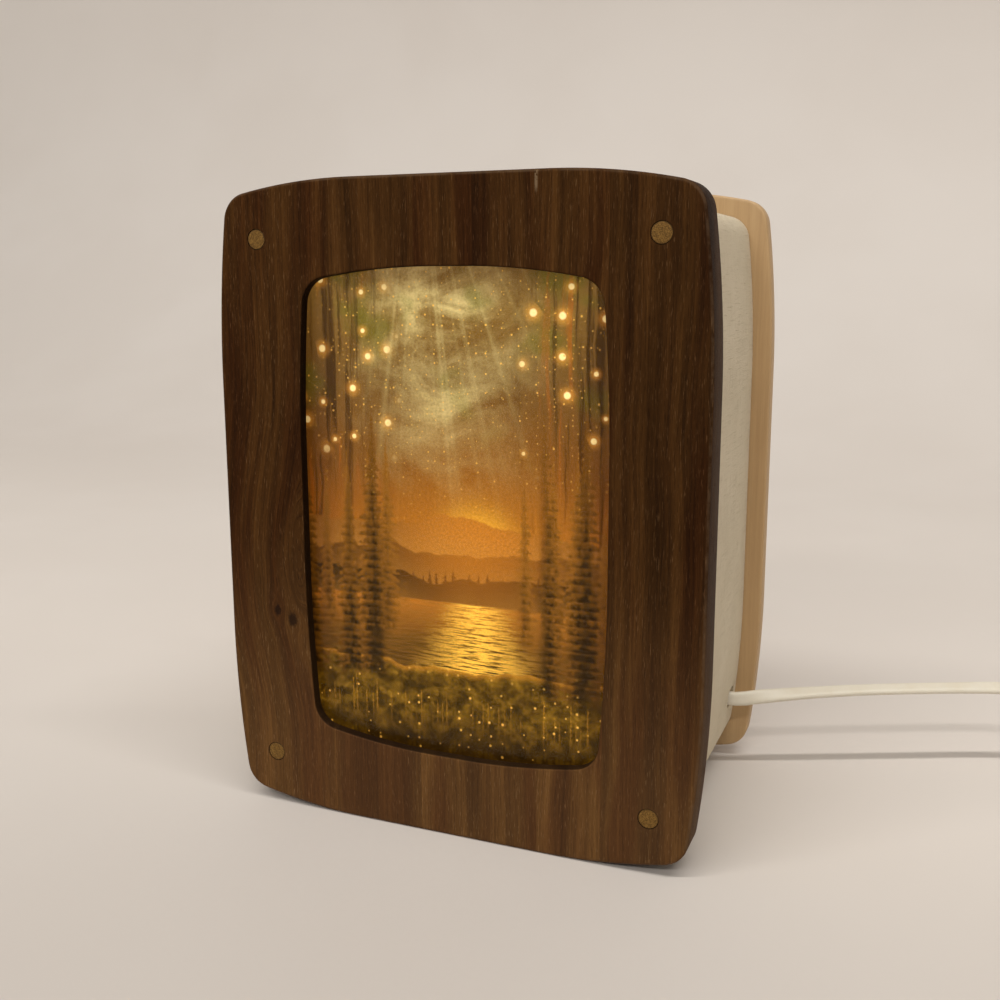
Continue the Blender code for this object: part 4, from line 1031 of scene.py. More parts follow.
def makeCornerTree():
    # the object's own mesh, set once at each corner of an upright rectangle
    tree = bpy.data.node_groups.new("atCorners", "GeometryNodeTree")
    for label, kind in (("Geometry", "NodeSocketGeometry"), ("Width", "NodeSocketFloat"), ("Height", "NodeSocketFloat"), ("Rise", "NodeSocketFloat"), ("Finish", "NodeSocketMaterial")):
        tree.interface.new_socket(label, in_out="INPUT", socket_type=kind)
    tree.interface.new_socket("Geometry", in_out="OUTPUT", socket_type="NodeSocketGeometry")
    start = tree.nodes.new("NodeGroupInput").outputs
    grid = put(tree, "GeometryNodeMeshGrid", {"Size X": start["Width"], "Size Y": start["Height"], "Vertices X": 2, "Vertices Y": 2})
    lift = put(tree, "ShaderNodeCombineXYZ", {"Z": start["Rise"]})
    upright = put(tree, "GeometryNodeTransform", {"Geometry": grid.outputs[0], "Translation": lift.outputs[0], "Rotation": (math.pi / 2, 0, 0)})
    placed = put(tree, "GeometryNodeInstanceOnPoints", {"Points": upright.outputs[0], "Instance": start["Geometry"]})
    real = put(tree, "GeometryNodeRealizeInstances", {"Geometry": placed.outputs[0]})
    done = put(tree, "GeometryNodeSetMaterial", {"Geometry": real.outputs[0], "Material": start["Finish"]})
    tree.links.new(done.outputs[0], tree.nodes.new("NodeGroupOutput").inputs[0])
    return tree


def makeDowels():
    shape = lampShape
    r, low, high = 3.0 * mm, shape["front"], shape["rear"]
    profile = [(0, low + 0.02 * mm), (r * 0.6, low + 0.03 * mm), (r * 0.92, low + 0.1 * mm), (r, low + 0.35 * mm)]
    profile += [(r, high - 0.35 * mm), (r * 0.92, high - 0.1 * mm), (r * 0.6, high - 0.03 * mm), (0, high - 0.02 * mm)]
    pegs = lathe("dowelPegs", profile, (0, 0, 0), 48, axis="Y")
    tree = makeCornerTree()
    grow = pegs.modifiers.new("grow", "NODES")
    grow.node_group = tree
    sockets = {s.name: s.identifier for s in tree.interface.items_tree if s.in_out == "INPUT"}
    values = {"Width": 2 * shape["dowelSide"], "Height": 2 * shape["dowelRise"], "Rise": shape["middle"], "Finish": dowelWood}
    for key, value in values.items():
        grow[sockets[key]] = value
    return bakeModifiers(pegs, 40)


dowelPegs = makeDowels()
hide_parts("dowel_upper_left", "dowel_upper_right", "dowel_lower_left", "dowel_lower_right")
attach(dowelPegs, "lamp")


# the lit card: a low sun over a lake, misty ridges, firs at both sides
cardLook = {
    "sun": (7.0, -13.0),
    "brightness": 1.0,
    "paper": rgba(232, 224, 206),
}


def makeFirRow():
    group, start, end = newGroup(
        "firRow",
        [("X", "NodeSocketFloat", 0.0), ("Z", "NodeSocketFloat", 0.0)]
        + [(n, "NodeSocketFloat", v) for n, v in (("Spacing", 12.0), ("Height", 60.0), ("Vary", 0.4), ("Base", -40.0), ("Seed", 0.0), ("Slim", 0.16), ("Bough", 4.0))],
        [("Mask", "NodeSocketFloat"), ("Depth", "NodeSocketFloat")],
    )
    along = calc(group, "ADD", calc(group, "DIVIDE", start["X"], start["Spacing"]), start["Seed"])
    cell = calc(group, "FLOOR", along)
    chance = put(group, "ShaderNodeTexWhiteNoise", {"W": cell}, noise_dimensions="1D").outputs["Color"]
    one, two, three = split(group, chance)
    dx = calc(group, "MULTIPLY", calc(group, "SUBTRACT", calc(group, "FRACT", along), 0.5), start["Spacing"])
    dx = calc(group, "ADD", dx, calc(group, "MULTIPLY", calc(group, "MULTIPLY", calc(group, "SUBTRACT", one, 0.5), 0.45), start["Spacing"]))
    tall = calc(group, "MULTIPLY", start["Height"], calc(group, "SUBTRACT", 1.0, calc(group, "MULTIPLY", start["Vary"], two)))
    below = calc(group, "SUBTRACT", calc(group, "ADD", start["Base"], tall), start["Z"])
    where = join(group, start["X"], start["Z"], start["Seed"])
    ragged = calc(group, "MULTIPLY", calc(group, "SUBTRACT", noiseAt(group, where, 1.5, 4.0, 0.8), 0.5), 4.2)
    tier = calc(group, "FRACT", calc(group, "ADD", calc(group, "DIVIDE", below, start["Bough"]), calc(group, "MULTIPLY", ragged, 0.22)))
    wide = calc(group, "MULTIPLY", calc(group, "MULTIPLY", below, start["Slim"]), calc(group, "ADD", 0.45, calc(group, "MULTIPLY", tier, 0.7)))
    uneven = noiseAt(group, join(group, calc(group, "MULTIPLY", start["X"], 0.5), calc(group, "MULTIPLY", start["Z"], 0.28), start["Seed"]), 1.0, 2.0)
    wide = calc(group, "MULTIPLY", wide, spread(group, uneven, 0.3, 0.7, 0.55, 1.5, "LINEAR"))
    wide = calc(group, "MINIMUM", wide, calc(group, "MULTIPLY", start["Spacing"], 0.62))
    inside = calc(group, "SUBTRACT", calc(group, "ADD", wide, calc(group, "MULTIPLY", ragged, 0.4)), calc(group, "ABSOLUTE", dx))
    mask = calc(group, "MULTIPLY", spread(group, inside, -0.25, 0.3), spread(group, below, 0.0, 1.2))
    feed(group, end["Mask"], mask)
    feed(group, end["Depth"], spread(group, inside, 0.0, 5.0))
    return group


def makeRidge():
    group, start, end = newGroup(
        "ridgeLine",
        [("X", "NodeSocketFloat", 0.0), ("Z", "NodeSocketFloat", 0.0)]
        + [(n, "NodeSocketFloat", v) for n, v in (("Base", 0.0), ("Swing", 14.0), ("Scale", 0.04), ("Seed", 0.0), ("Soft", 0.8))],
        [("Mask", "NodeSocketFloat"), ("Below", "NodeSocketFloat")],
    )
    where = join(group, calc(group, "MULTIPLY", start["X"], start["Scale"]), start["Seed"], 0.0)
    line = calc(group, "ADD", start["Base"], calc(group, "MULTIPLY", calc(group, "SUBTRACT", noiseAt(group, where, 1.0, 5.0, 0.5), 0.45), start["Swing"]))
    below = calc(group, "SUBTRACT", line, start["Z"])
    feed(group, end["Mask"], spread(group, below, 0.0, start["Soft"]))
    feed(group, end["Below"], below)
    return group


def makeSpecks():
    group, start, end = newGroup(
        "glowSpecks",
        [("X", "NodeSocketFloat", 0.0), ("Z", "NodeSocketFloat", 0.0)]
        + [(n, "NodeSocketFloat", v) for n, v in (("Cell", 10.0), ("Size", 0.8), ("Share", 0.5), ("Seed", 0.0))],
        [("Core", "NodeSocketFloat"), ("Halo", "NodeSocketFloat")],
    )
    where = join(group, calc(group, "DIVIDE", start["X"], start["Cell"]), calc(group, "DIVIDE", start["Z"], start["Cell"]), start["Seed"])
    cells = put(group, "ShaderNodeTexVoronoi", {"Vector": where, "Scale": 1.0, "Randomness": 0.85}, voronoi_dimensions="2D")
    moved = vecCalc(group, "ADD", where, join(group, start["Seed"], start["Seed"], 0.0))
    feed(group, cells.inputs["Vector"], moved)
    away = calc(group, "MULTIPLY", cells.outputs["Distance"], start["Cell"])
    one, two, _ = split(group, cells.outputs["Color"])
    chosen = calc(group, "LESS_THAN", one, start["Share"])
    size = calc(group, "MULTIPLY", start["Size"], calc(group, "ADD", 0.55, calc(group, "MULTIPLY", two, 0.7)))
    core = calc(group, "MULTIPLY", spread(group, away, size, calc(group, "MULTIPLY", size, 0.6)), chosen)
    halo = calc(group, "MULTIPLY", spread(group, away, calc(group, "MULTIPLY", size, 3.2), 0.0, kind="SMOOTHERSTEP"), chosen)
    feed(group, end["Core"], core)
    feed(group, end["Halo"], halo)
    return group


def makeCardPrint():
    material, tree, shader = newMaterial("litCardPrint")
    x, y, z = split(tree, objectMm(tree))
    z = calc(tree, "SUBTRACT", z, 97.0)
    firRow, ridge, specks = makeFirRow(), makeRidge(), makeSpecks()
    sunX, sunZ = cardLook["sun"]
    plane = join(tree, x, z, 0.0)
    dx = calc(tree, "SUBTRACT", x, sunX)
    dz = calc(tree, "SUBTRACT", z, sunZ)
    away = calc(tree, "SQRT", calc(tree, "ADD", calc(tree, "MULTIPLY", dx, dx), calc(tree, "MULTIPLY", calc(tree, "MULTIPLY", dz, dz), 0.8)))
    # sky: dark gold edges, pale mist above the middle
    up = spread(tree, z, -72.0, 72.0, kind="LINEAR")
    sky = ramp(
        tree,
        up,
        [
            (0.0, rgba(88, 60, 18)),
            (0.34, rgba(150, 100, 34)),
            (0.46, rgba(162, 108, 42)),
            (0.6, rgba(128, 88, 42)),
            (0.78, rgba(122, 94, 54)),
            (1.0, rgba(146, 120, 76)),
        ],
    )
    cloud = noiseAt(tree, join(tree, calc(tree, "MULTIPLY", x, 0.035), calc(tree, "MULTIPLY", z, 0.05), 3.0), 1.0, 6.0, 0.62, 0.6)
    middle = spread(tree, calc(tree, "ABSOLUTE", calc(tree, "ADD", x, 4.0)), 40.0, 2.0)
    height = spread(tree, z, -6.0, 66.0)
    mist = calc(tree, "MULTIPLY", calc(tree, "MULTIPLY", spread(tree, cloud, 0.36, 0.72), middle), height)
    colour = blendColour(tree, calc(tree, "MULTIPLY", mist, 1.0), sky, rgba(232, 220, 186))
    # light falls in shafts from high on the left
    fan = calc(tree, "DIVIDE", calc(tree, "ADD", x, 10.0), calc(tree, "SUBTRACT", 118.0, z))
    shaft = noiseAt(tree, join(tree, calc(tree, "MULTIPLY", fan, 17.0), 0.0, 0.0), 1.0, 2.0, 0.6)
    shafts = calc(tree, "MULTIPLY", calc(tree, "MULTIPLY", spread(tree, shaft, 0.46, 0.72), middle), spread(tree, z, -20.0, 60.0))
    colour = blendColour(tree, calc(tree, "MULTIPLY", shafts, 0.26), colour, rgba(232, 224, 188), "SCREEN")
    green = calc(tree, "MULTIPLY", spread(tree, noiseAt(tree, plane, 0.045, 3.0), 0.5, 0.66), spread(tree, z, 10.0, 50.0))
    colour = blendColour(tree, calc(tree, "MULTIPLY", green, 0.55), colour, rgba(112, 116, 46))
    # trunks and twigs in the haze
    trunkAt = join(tree, calc(tree, "ADD", calc(tree, "MULTIPLY", x, 0.3), calc(tree, "MULTIPLY", calc(tree, "SUBTRACT", cloud, 0.5), 0.9)), calc(tree, "MULTIPLY", z, 0.012), 7.0)
    trunk = noiseAt(tree, trunkAt, 1.0, 3.0, 0.6)
    outer = spread(tree, calc(tree, "ABSOLUTE", x), 12.0, 40.0)
    colour = blendColour(tree, calc(tree, "MULTIPLY", spread(tree, trunk, 0.5, 0.62), calc(tree, "MULTIPLY", outer, 0.75)), colour, rgba(64, 40, 16))
    colour = blendColour(tree, calc(tree, "MULTIPLY", spread(tree, trunk, 0.42, 0.32), calc(tree, "MULTIPLY", outer, 0.6)), colour, rgba(176, 108, 44))
    # the sun's warmth
    colour = blendColour(tree, spread(tree, away, 50.0, 0.0, 0.0, 0.42), colour, rgba(190, 122, 40), "SCREEN")
    colour = blendColour(tree, spread(tree, away, 20.0, 2.0, 0.0, 0.9), colour, rgba(255, 206, 92))
    colour = blendColour(tree, spread(tree, away, 6.6, 5.2), colour, rgba(255, 240, 186))
    # ridges, one before the other
    for base, swing, scale, seed, tone, glow in (
        (-2.0, 26.0, 0.028, 1.7, rgba(150, 106, 52), 0.5),
        (-11.0, 20.0, 0.036, 5.1, rgba(112, 78, 36), 0.4),
        (-18.0, 13.0, 0.05, 8.6, rgba(74, 53, 24), 0.28),
    ):
        land = useGroup(tree, ridge, {"X": x, "Z": z, "Base": base, "Swing": swing, "Scale": scale, "Seed": seed, "Soft": 0.7})
        wood = useGroup(tree, firRow, {"X": x, "Z": z, "Spacing": 2.6, "Height": 5.0, "Vary": 0.7, "Base": base - 1.5, "Seed": seed, "Slim": 0.2, "Bough": 1.4})
        shade = blendColour(tree, spread(tree, away, 36.0, 0.0, 0.0, glow), tone, rgba(238, 160, 66))
        shade = blendColour(tree, spread(tree, land["Below"], 0.0, 14.0, 0.0, 0.5), shade, rgba(186, 140, 80))
        mask = land["Mask"] if base > -12 else calc(tree, "MAXIMUM", land["Mask"], wood["Mask"])
        colour = blendColour(tree, mask, colour, shade)
    # lake with glitter below the sun
    lake = spread(tree, z, -25.2, -25.8)
    ripple = noiseAt(tree, join(tree, calc(tree, "MULTIPLY", x, 0.13), calc(tree, "MULTIPLY", z, 1.5), 0.0), 1.0, 5.0, 0.65)
    down = spread(tree, z, -26.0, -52.0, kind="LINEAR")
    path = spread(tree, calc(tree, "ABSOLUTE", dx), calc(tree, "ADD", 13.0, calc(tree, "MULTIPLY", down, 16.0)), 0.0)
    water = ramp(tree, down, [(0.0, rgba(180, 122, 52)), (0.45, rgba(110, 80, 34)), (1.0, rgba(62, 48, 20))])
    water = blendColour(tree, calc(tree, "MULTIPLY", spread(tree, ripple, 0.4, 0.62), 0.5), water, rgba(150, 112, 56))
    water = blendColour(tree, calc(tree, "MULTIPLY", spread(tree, ripple, 0.36, 0.56), path), water, rgba(255, 208, 108))
    colour = blendColour(tree, lake, colour, water)
    # near bank with moss, stones and golden flecks
    bankAt = useGroup(tree, ridge, {"X": x, "Z": z, "Base": -46.0, "Swing": 12.0, "Scale": 0.05, "Seed": 11.3, "Soft": 0.9})
    moss = noiseAt(tree, plane, 0.22, 6.0, 0.7)
    bank = ramp(tree, moss, [(0.28, rgba(44, 34, 12)), (0.45, rgba(84, 64, 20)), (0.58, rgba(124, 98, 34)), (0.75, rgba(170, 138, 56))])
    bank = blendColour(tree, spread(tree, bankAt["Below"], 3.0, 0.0, 0.0, 0.6), bank, rgba(216, 158, 66))
    bank = blendColour(tree, spread(tree, z, -56.0, -72.0, 0.0, 0.4), bank, rgba(56, 40, 12))
    colour = blendColour(tree, bankAt["Mask"], colour, bank)
    # firs, the far row lighter
    for spacing, tall, slim, seed, base, tone, edge, inner in (
        (7.5, 66.0, 0.09, 3.4, -38.0, rgba(84, 60, 26), rgba(146, 104, 44), 16.0),
        (11.0, 98.0, 0.1, 7.9, -52.0, rgba(46, 34, 14), rgba(122, 86, 34), 23.0),
    ):
        row = useGroup(tree, firRow, {"X": x, "Z": z, "Spacing": spacing, "Height": tall, "Vary": 0.42, "Base": base, "Seed": seed, "Slim": slim, "Bough": 2.5})
        side = spread(tree, calc(tree, "ABSOLUTE", calc(tree, "SUBTRACT", x, 2.0)), inner, inner + 5.0)
        rim = blendColour(tree, row["Depth"], edge, tone)
        rim = blendColour(tree, calc(tree, "MULTIPLY", spread(tree, moss, 0.45, 0.7), 0.4), rim, edge)
        over = spread(tree, z, base - 2.0, base + 4.0)
        colour = blendColour(tree, calc(tree, "MULTIPLY", calc(tree, "MULTIPLY", row["Mask"], side), calc(tree, "MULTIPLY", over, 0.94)), colour, rim)
    # reeds in front
    reeds = useGroup(tree, firRow, {"X": x, "Z": z, "Spacing": 1.7, "Height": 21.0, "Vary": 0.75, "Base": -72.0, "Seed": 2.2, "Slim": 0.03, "Bough": 60.0})
    reedTone = blendColour(tree, spread(tree, z, -70.0, -54.0), rgba(66, 50, 16), rgba(190, 146, 58))
    colour = blendColour(tree, calc(tree, "MULTIPLY", reeds["Mask"], 0.85), colour, reedTone)
    # lights hung in the branches, and dust in the air
    lights = useGroup(tree, specks, {"X": x, "Z": z, "Cell": 10.5, "Size": 1.15, "Share": 0.72, "Seed": 3.1})
    place = calc(tree, "MULTIPLY", spread(tree, calc(tree, "ABSOLUTE", x), 15.0, 24.0), spread(tree, z, 12.0, 26.0))
    colour = blendColour(tree, calc(tree, "MULTIPLY", calc(tree, "MULTIPLY", lights["Halo"], place), 0.5), colour, rgba(236, 168, 84), "SCREEN")
    colour = blendColour(tree, calc(tree, "MULTIPLY", lights["Core"], place), colour, rgba(255, 240, 206))
    for cell, size, share, seed, strength, low, high in ((2.6, 0.3, 0.3, 5.3, 0.75, -20.0, 40.0), (3.4, 0.42, 0.35, 8.8, 0.8, -40.0, -58.0), (1.7, 0.2, 0.25, 1.9, 0.6, 0.0, 30.0)):
        dust = useGroup(tree, specks, {"X": x, "Z": z, "Cell": cell, "Size": size, "Share": share, "Seed": seed})
        there = calc(tree, "MULTIPLY", spread(tree, z, low, high), strength)
        colour = blendColour(tree, calc(tree, "MULTIPLY", dust["Core"], there), colour, rgba(250, 206, 118))
    # fine brushwork, and the tint towards the edges
    fine = noiseAt(tree, plane, 1.4, 4.0, 0.7)
    colour = blendColour(tree, 0.35, colour, ramp(tree, fine, [(0.3, (0.2, 0.2, 0.2)), (0.7, (0.8, 0.8, 0.8))]), "OVERLAY")
    edgeX = spread(tree, calc(tree, "ABSOLUTE", x), 34.0, 50.0)
    edgeZ = spread(tree, calc(tree, "ABSOLUTE", z), 58.0, 74.0)
    colour = blendColour(tree, calc(tree, "MULTIPLY", calc(tree, "MAXIMUM", edgeX, edgeZ), 0.6), colour, rgba(112, 66, 22), "MULTIPLY")
    deep = put(tree, "ShaderNodeGamma", {"Color": colour, "Gamma": 1.16}).outputs[0]
    colour = blendColour(tree, 1.0, deep, (1.12, 1.0, 0.61, 1), "MULTIPLY")
    front = spread(tree, split(tree, put(tree, "ShaderNodeNewGeometry").outputs["True Normal"])[1], -0.5, -0.9)
    shown = blendColour(tree, front, cardLook["paper"], blendColour(tree, 1.0, colour, (0.16, 0.16, 0.16, 1), "MULTIPLY"))
    feed(tree, shader.inputs["Base Color"], shown)
    feed(tree, shader.inputs["Emission Color"], blendColour(tree, front, (0, 0, 0, 1), colour))
    shader.inputs["Emission Strength"].default_value = cardLook["brightness"]
    shader.inputs["Roughness"].default_value = 0.8
    shader.inputs["Specular IOR Level"].default_value = 0.05
    return material


def paint(name, material):
    node = bpy.data.objects[name]
    for index in range(len(node.data.materials)):
        node.data.materials[index] = material


paint("postcard", makeCardPrint())
print("card print done")


# plastics and metals
def makeMoulded():
    group, start, end = newGroup(
        "mouldedFinish",
        [("Vector", "NodeSocketVector", None), ("Colour", "NodeSocketColor", (0.8, 0.8, 0.8, 1)), ("Aged", "NodeSocketColor", (0.6, 0.6, 0.5, 1)), ("Amount", "NodeSocketFloat", 0.3), ("Gloss", "NodeSocketFloat", 0.4)],
        [("Colour", "NodeSocketColor"), ("Roughness", "NodeSocketFloat"), ("Height", "NodeSocketFloat")],
    )
    cloudy = noiseAt(group, start["Vector"], 0.09, 4.0, 0.6)
    feed(group, end["Colour"], blendColour(group, calc(group, "MULTIPLY", spread(group, cloudy, 0.4, 0.75), start["Amount"]), start["Colour"], start["Aged"]))
    scuffs = noiseAt(group, start["Vector"], 0.8, 3.0, 0.65)
    feed(group, end["Roughness"], calc(group, "ADD", start["Gloss"], calc(group, "MULTIPLY", calc(group, "SUBTRACT", scuffs, 0.5), 0.22)))
    feed(group, end["Height"], noiseAt(group, start["Vector"], 5.0, 2.0, 0.5))
    return group


mouldedFinish = makeMoulded()


def makePlastic(name, colour, aged, gloss=0.38, bump=0.00004, glow=None, alongUv=False):
    material, tree, shader = newMaterial(name)
    at = objectMm(tree)
    if alongUv:
        at = put(tree, "ShaderNodeUVMap", uv_map="UVMap").outputs[0]
    skin = useGroup(tree, mouldedFinish, {"Vector": at, "Colour": colour, "Aged": aged, "Amount": 0.4, "Gloss": gloss})
    feed(tree, shader.inputs["Base Color"], skin["Colour"])
    feed(tree, shader.inputs["Roughness"], skin["Roughness"])
    height = skin["Height"]
    if alongUv:
        along = calc(tree, "MULTIPLY", split(tree, at)[1], 2.6)
        height = calc(tree, "ADD", height, calc(tree, "MULTIPLY", calc(tree, "SINE", along), 0.35))
    feed(tree, shader.inputs["Normal"], bumpFrom(tree, height, bump, 0.5))
    if glow:
        feed(tree, shader.inputs["Emission Color"], blendColour(tree, 1.0, skin["Colour"], glow[0], "MULTIPLY"))
        shader.inputs["Emission Strength"].default_value = glow[1]
    return material


def makeMetal(name, colour, dull, rough=(0.22, 0.42), stretch=(1.0, 1.0, 1.0)):
    material, tree, shader = newMaterial(name)
    at = vecCalc(tree, "MULTIPLY", objectMm(tree), stretch)
    wear = noiseAt(tree, at, 0.5, 4.0, 0.65)
    feed(tree, shader.inputs["Base Color"], blendColour(tree, spread(tree, wear, 0.45, 0.7), colour, dull))
    feed(tree, shader.inputs["Roughness"], spread(tree, wear, 0.35, 0.7, rough[0], rough[1]))
    shader.inputs["Metallic"].default_value = 1.0
    feed(tree, shader.inputs["Normal"], bumpFrom(tree, noiseAt(tree, at, 4.0, 3.0), 0.00003, 0.4))
    return material


def makeSheet(name, colour, clear):
    material, tree, shader = newMaterial(name)
    smear = noiseAt(tree, objectMm(tree), 0.05, 3.0)
    shader.inputs["Base Color"].default_value = colour
    feed(tree, shader.inputs["Roughness"], spread(tree, smear, 0.4, 0.7, 0.03 if clear else 0.3, 0.07 if clear else 0.4))
    shader.inputs["IOR"].default_value = 1.16 if clear else 1.49
    if clear:
        shader.inputs["Transmission Weight"].default_value = 1.0
    else:
        shader.inputs["Emission Color"].default_value = (1.0, 0.74, 0.42, 1)
        shader.inputs["Emission Strength"].default_value = 0.35
    return material


creamPlastic = makePlastic("creamPlastic", rgba(226, 217, 199), rgba(206, 192, 164), 0.36)
cordJacket = makePlastic("cordJacket", rgba(222, 215, 198), rgba(210, 197, 171), 0.42, 0.00006, alongUv=True)
holderPlastic = makePlastic("holderPlastic", rgba(232, 228, 218), rgba(212, 204, 186), 0.32)
bulbPlastic = makePlastic("bulbPlastic", rgba(236, 234, 228), rgba(220, 214, 200), 0.4)
globeOpal = makePlastic("globeOpal", rgba(255, 236, 208), rgba(255, 226, 186), 0.3, 0.00002, glow=(rgba(255, 214, 150), 1.6))
steelZinc = makeMetal("zincSteel", rgba(186, 188, 188), rgba(150, 152, 150))
brassPlain = makeMetal("plainBrass", rgba(214, 178, 104), rgba(176, 140, 80))
nickelCap = makeMetal("nickelCap", rgba(202, 200, 192), rgba(164, 160, 150), stretch=(1.0, 1.0, 3.0))
dress(leadCord, cordJacket)

paint("front_ring", birchPly)
paint("rear_ring", birchPly)
paint("clear_pane", makeSheet("clearPane", (1, 1, 1, 1), True))
paint("opal_sheet", makeSheet("opalSheet", rgba(242, 236, 222), False))
paint("card_retainer", birchPly)
for nodeName in ("holder_bracket", "holder_nipple", "holder_nut"):
    paint(nodeName, steelZinc)
for nodeName in ("lampholder_thread", "lampholder_contact", "switch_terminal_1", "switch_terminal_2"):
    paint(nodeName, brassPlain)
for nodeName in ("switch_screw_1", "switch_screw_2"):
    paint(nodeName, steelZinc)
paint("cord_clamp", creamPlastic)
print("small materials done")


# bulb in its holder
bulbSizes = {"axis": (0, 2.75 * mm), "holderLow": 38 * mm, "seat": 75.7 * mm, "ribs": 28, "ribRadius": 0.55 * mm, "ribLength": 21 * mm}


def makeRibTree(name, roundness):
    # upright ribs on a ring, or bars set off along a line, as one mesh
    tree = bpy.data.node_groups.new(name, "GeometryNodeTree")
    for label, kind in (("Count", "NodeSocketInt"), ("Reach", "NodeSocketFloat"), ("Radius", "NodeSocketFloat"), ("Length", "NodeSocketFloat"), ("Place", "NodeSocketVector"), ("Step", "NodeSocketVector"), ("Turn", "NodeSocketRotation"), ("Finish", "NodeSocketMaterial")):
        tree.interface.new_socket(label, in_out="INPUT", socket_type=kind)
    tree.interface.new_socket("Geometry", in_out="OUTPUT", socket_type="NodeSocketGeometry")
    start = tree.nodes.new("NodeGroupInput").outputs
    if roundness:
        row = put(tree, "GeometryNodeMeshCircle", {"Vertices": start["Count"], "Radius": start["Reach"]})
        row = put(tree, "GeometryNodeSetPosition", {"Geometry": row.outputs[0], "Offset": start["Place"]})
    else:
        row = put(tree, "GeometryNodeMeshLine", {"Count": start["Count"], "Start Location": start["Place"], "Offset": start["Step"]})
    rib = put(tree, "GeometryNodeMeshCylinder", {"Vertices": 12, "Radius": start["Radius"], "Depth": start["Length"]})
    placed = put(tree, "GeometryNodeInstanceOnPoints", {"Points": row.outputs[0], "Instance": rib.outputs["Mesh"], "Rotation": start["Turn"]})
    real = put(tree, "GeometryNodeRealizeInstances", {"Geometry": placed.outputs[0]})
    done = put(tree, "GeometryNodeSetMaterial", {"Geometry": real.outputs[0], "Material": start["Finish"]})
    tree.links.new(done.outputs[0], tree.nodes.new("NodeGroupOutput").inputs[0])
    return tree


def growRibs(name, tree, values):
    obj = bpy.data.objects.new(name, bpy.data.meshes.new(name))
    bpy.context.scene.collection.objects.link(obj)
    grow = obj.modifiers.new("grow", "NODES")
    grow.node_group = tree
    sockets = {s.name: s.identifier for s in tree.interface.items_tree if s.in_out == "INPUT"}
    for key, value in values.items():
        grow[sockets[key]] = value
    bakeModifiers(obj, 40)
    return obj


ribRing = makeRibTree("ribRing", True)
ribLine = makeRibTree("ribLine", False)


def makeHolder():
    s = bulbSizes
    place = (*s["axis"], s["holderLow"])
    outline = [(5.3, 0), (12.4, 0), (13.3, 0.35), (13.85, 1.0), (14, 1.9), (14, 27.5), (13.6, 28.1), (13.6, 29.1), (14, 29.7), (14, 40.2), (13.8, 41.1), (13.2, 41.75), (12.4, 42), (10.2, 42), (9.7, 41.5), (9.7, 5), (5.3, 5)]
    rings = []
    steps = 72
    for radius, height in outline:
        rings.append([(place[0] + radius * mm * math.cos(2 * math.pi * i / steps), place[1] + radius * mm * math.sin(2 * math.pi * i / steps), place[2] + height * mm) for i in range(steps)])
    body = dress(loft("holderBody", rings, wrap=True, smoothAngle=40), holderPlastic)
    ribs = growRibs("holderRibs", ribRing, {"Count": s["ribs"], "Reach": 13.9 * mm, "Radius": s["ribRadius"], "Length": s["ribLength"], "Place": (place[0], place[1], place[2] + 14.5 * mm), "Finish": holderPlastic})
    return joinPieces("ribbedHolder", [body, ribs], 40)


def makeBulbParts():
    s = bulbSizes
    seat = (*s["axis"], s["seat"])
    cap = [(0, 0.0), (6.7 * mm, 0.0)]
    for i in range(65):
        depth = 0.8 + 14.4 * i / 64
        cap.append(((6.72 + 0.28 * math.cos(depth * 2 * math.pi / 2.9)) * mm, -depth * mm))
    cap += [(6.3 * mm, -16.0 * mm), (5.4 * mm, -17.0 * mm), (3.6 * mm, -17.6 * mm), (2.5 * mm, -18.2 * mm), (2.3 * mm, -19.1 * mm), (1.2 * mm, -19.4 * mm), (0, -19.4 * mm)]
    screwCap = dress(lathe("screwCap", cap, seat, 56), nickelCap)
    base = (*s["axis"], s["seat"] + 0.3 * mm)
    housing = [(0, 0), (8.1, 0), (8.5, 0.4), (8.5, 2.6), (8.9, 4.0), (9.9, 6.0), (11.6, 9.0), (13.8, 12.4), (16.2, 16.0), (18.0, 19.4), (18.8, 22.0), (19, 23.4), (18.7, 24), (0, 24)]
    shell = dress(lathe("bulbShell", [(r * mm, h * mm) for r, h in housing], base, 72, smoothAngle=40), bulbPlastic)
    globe = [(0, 0), (18.9, 0), (19.3, 0.6), (20.6, 3.0), (21.6, 6.0), (22.2, 9.0), (22.5, 13.0)]
    globe += [(22.5 * math.cos(math.pi / 2 * i / 16), 14 + 20 * math.sin(math.pi / 2 * i / 16)) for i in range(16)] + [(0, 34)]
    bowl = dress(lathe("bulbBowl", [(r * mm, h * mm) for r, h in globe], (*s["axis"], s["seat"] + 24.6 * mm), 72, smoothAngle=40), globeOpal)
    return screwCap, shell, bowl


for piece, node, slot in zip((makeHolder(), *makeBulbParts()), ("lampholder", "bulb_cap", "bulb_housing", "bulb_globe"), ("holder_plastic", "bulb_cap_metal", "bulb_housing_plastic", "bulb_globe_opal")):
    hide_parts(node)
    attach(piece, "lamp")

innerRoute = [(58.25, 30.75, 25.4), (49.6, 30.75, 25.4), (38.1, 25.95, 23.9), (24.5, 16.75, 20.0), (10.9, 7.55, 20.0), (2.4, 2.75, 22.4), (0, 2.75, 27.2), (0, 2.75, 32.0)]
innerCord = sweepCord("innerCord", smoothLine([(Vector(p), 90) for p in innerRoute]), cordSection())
dress(innerCord, cordJacket)
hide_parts("inner_cord")
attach(innerCord, "lamp")
print("bulb, holder and inner cord done")


# screws with a low round head and a cross
screwSizes = {"radius": 1.5, "head": 2.8, "headHigh": 1.6, "cross": (0.55, 3.0, 0.75)}


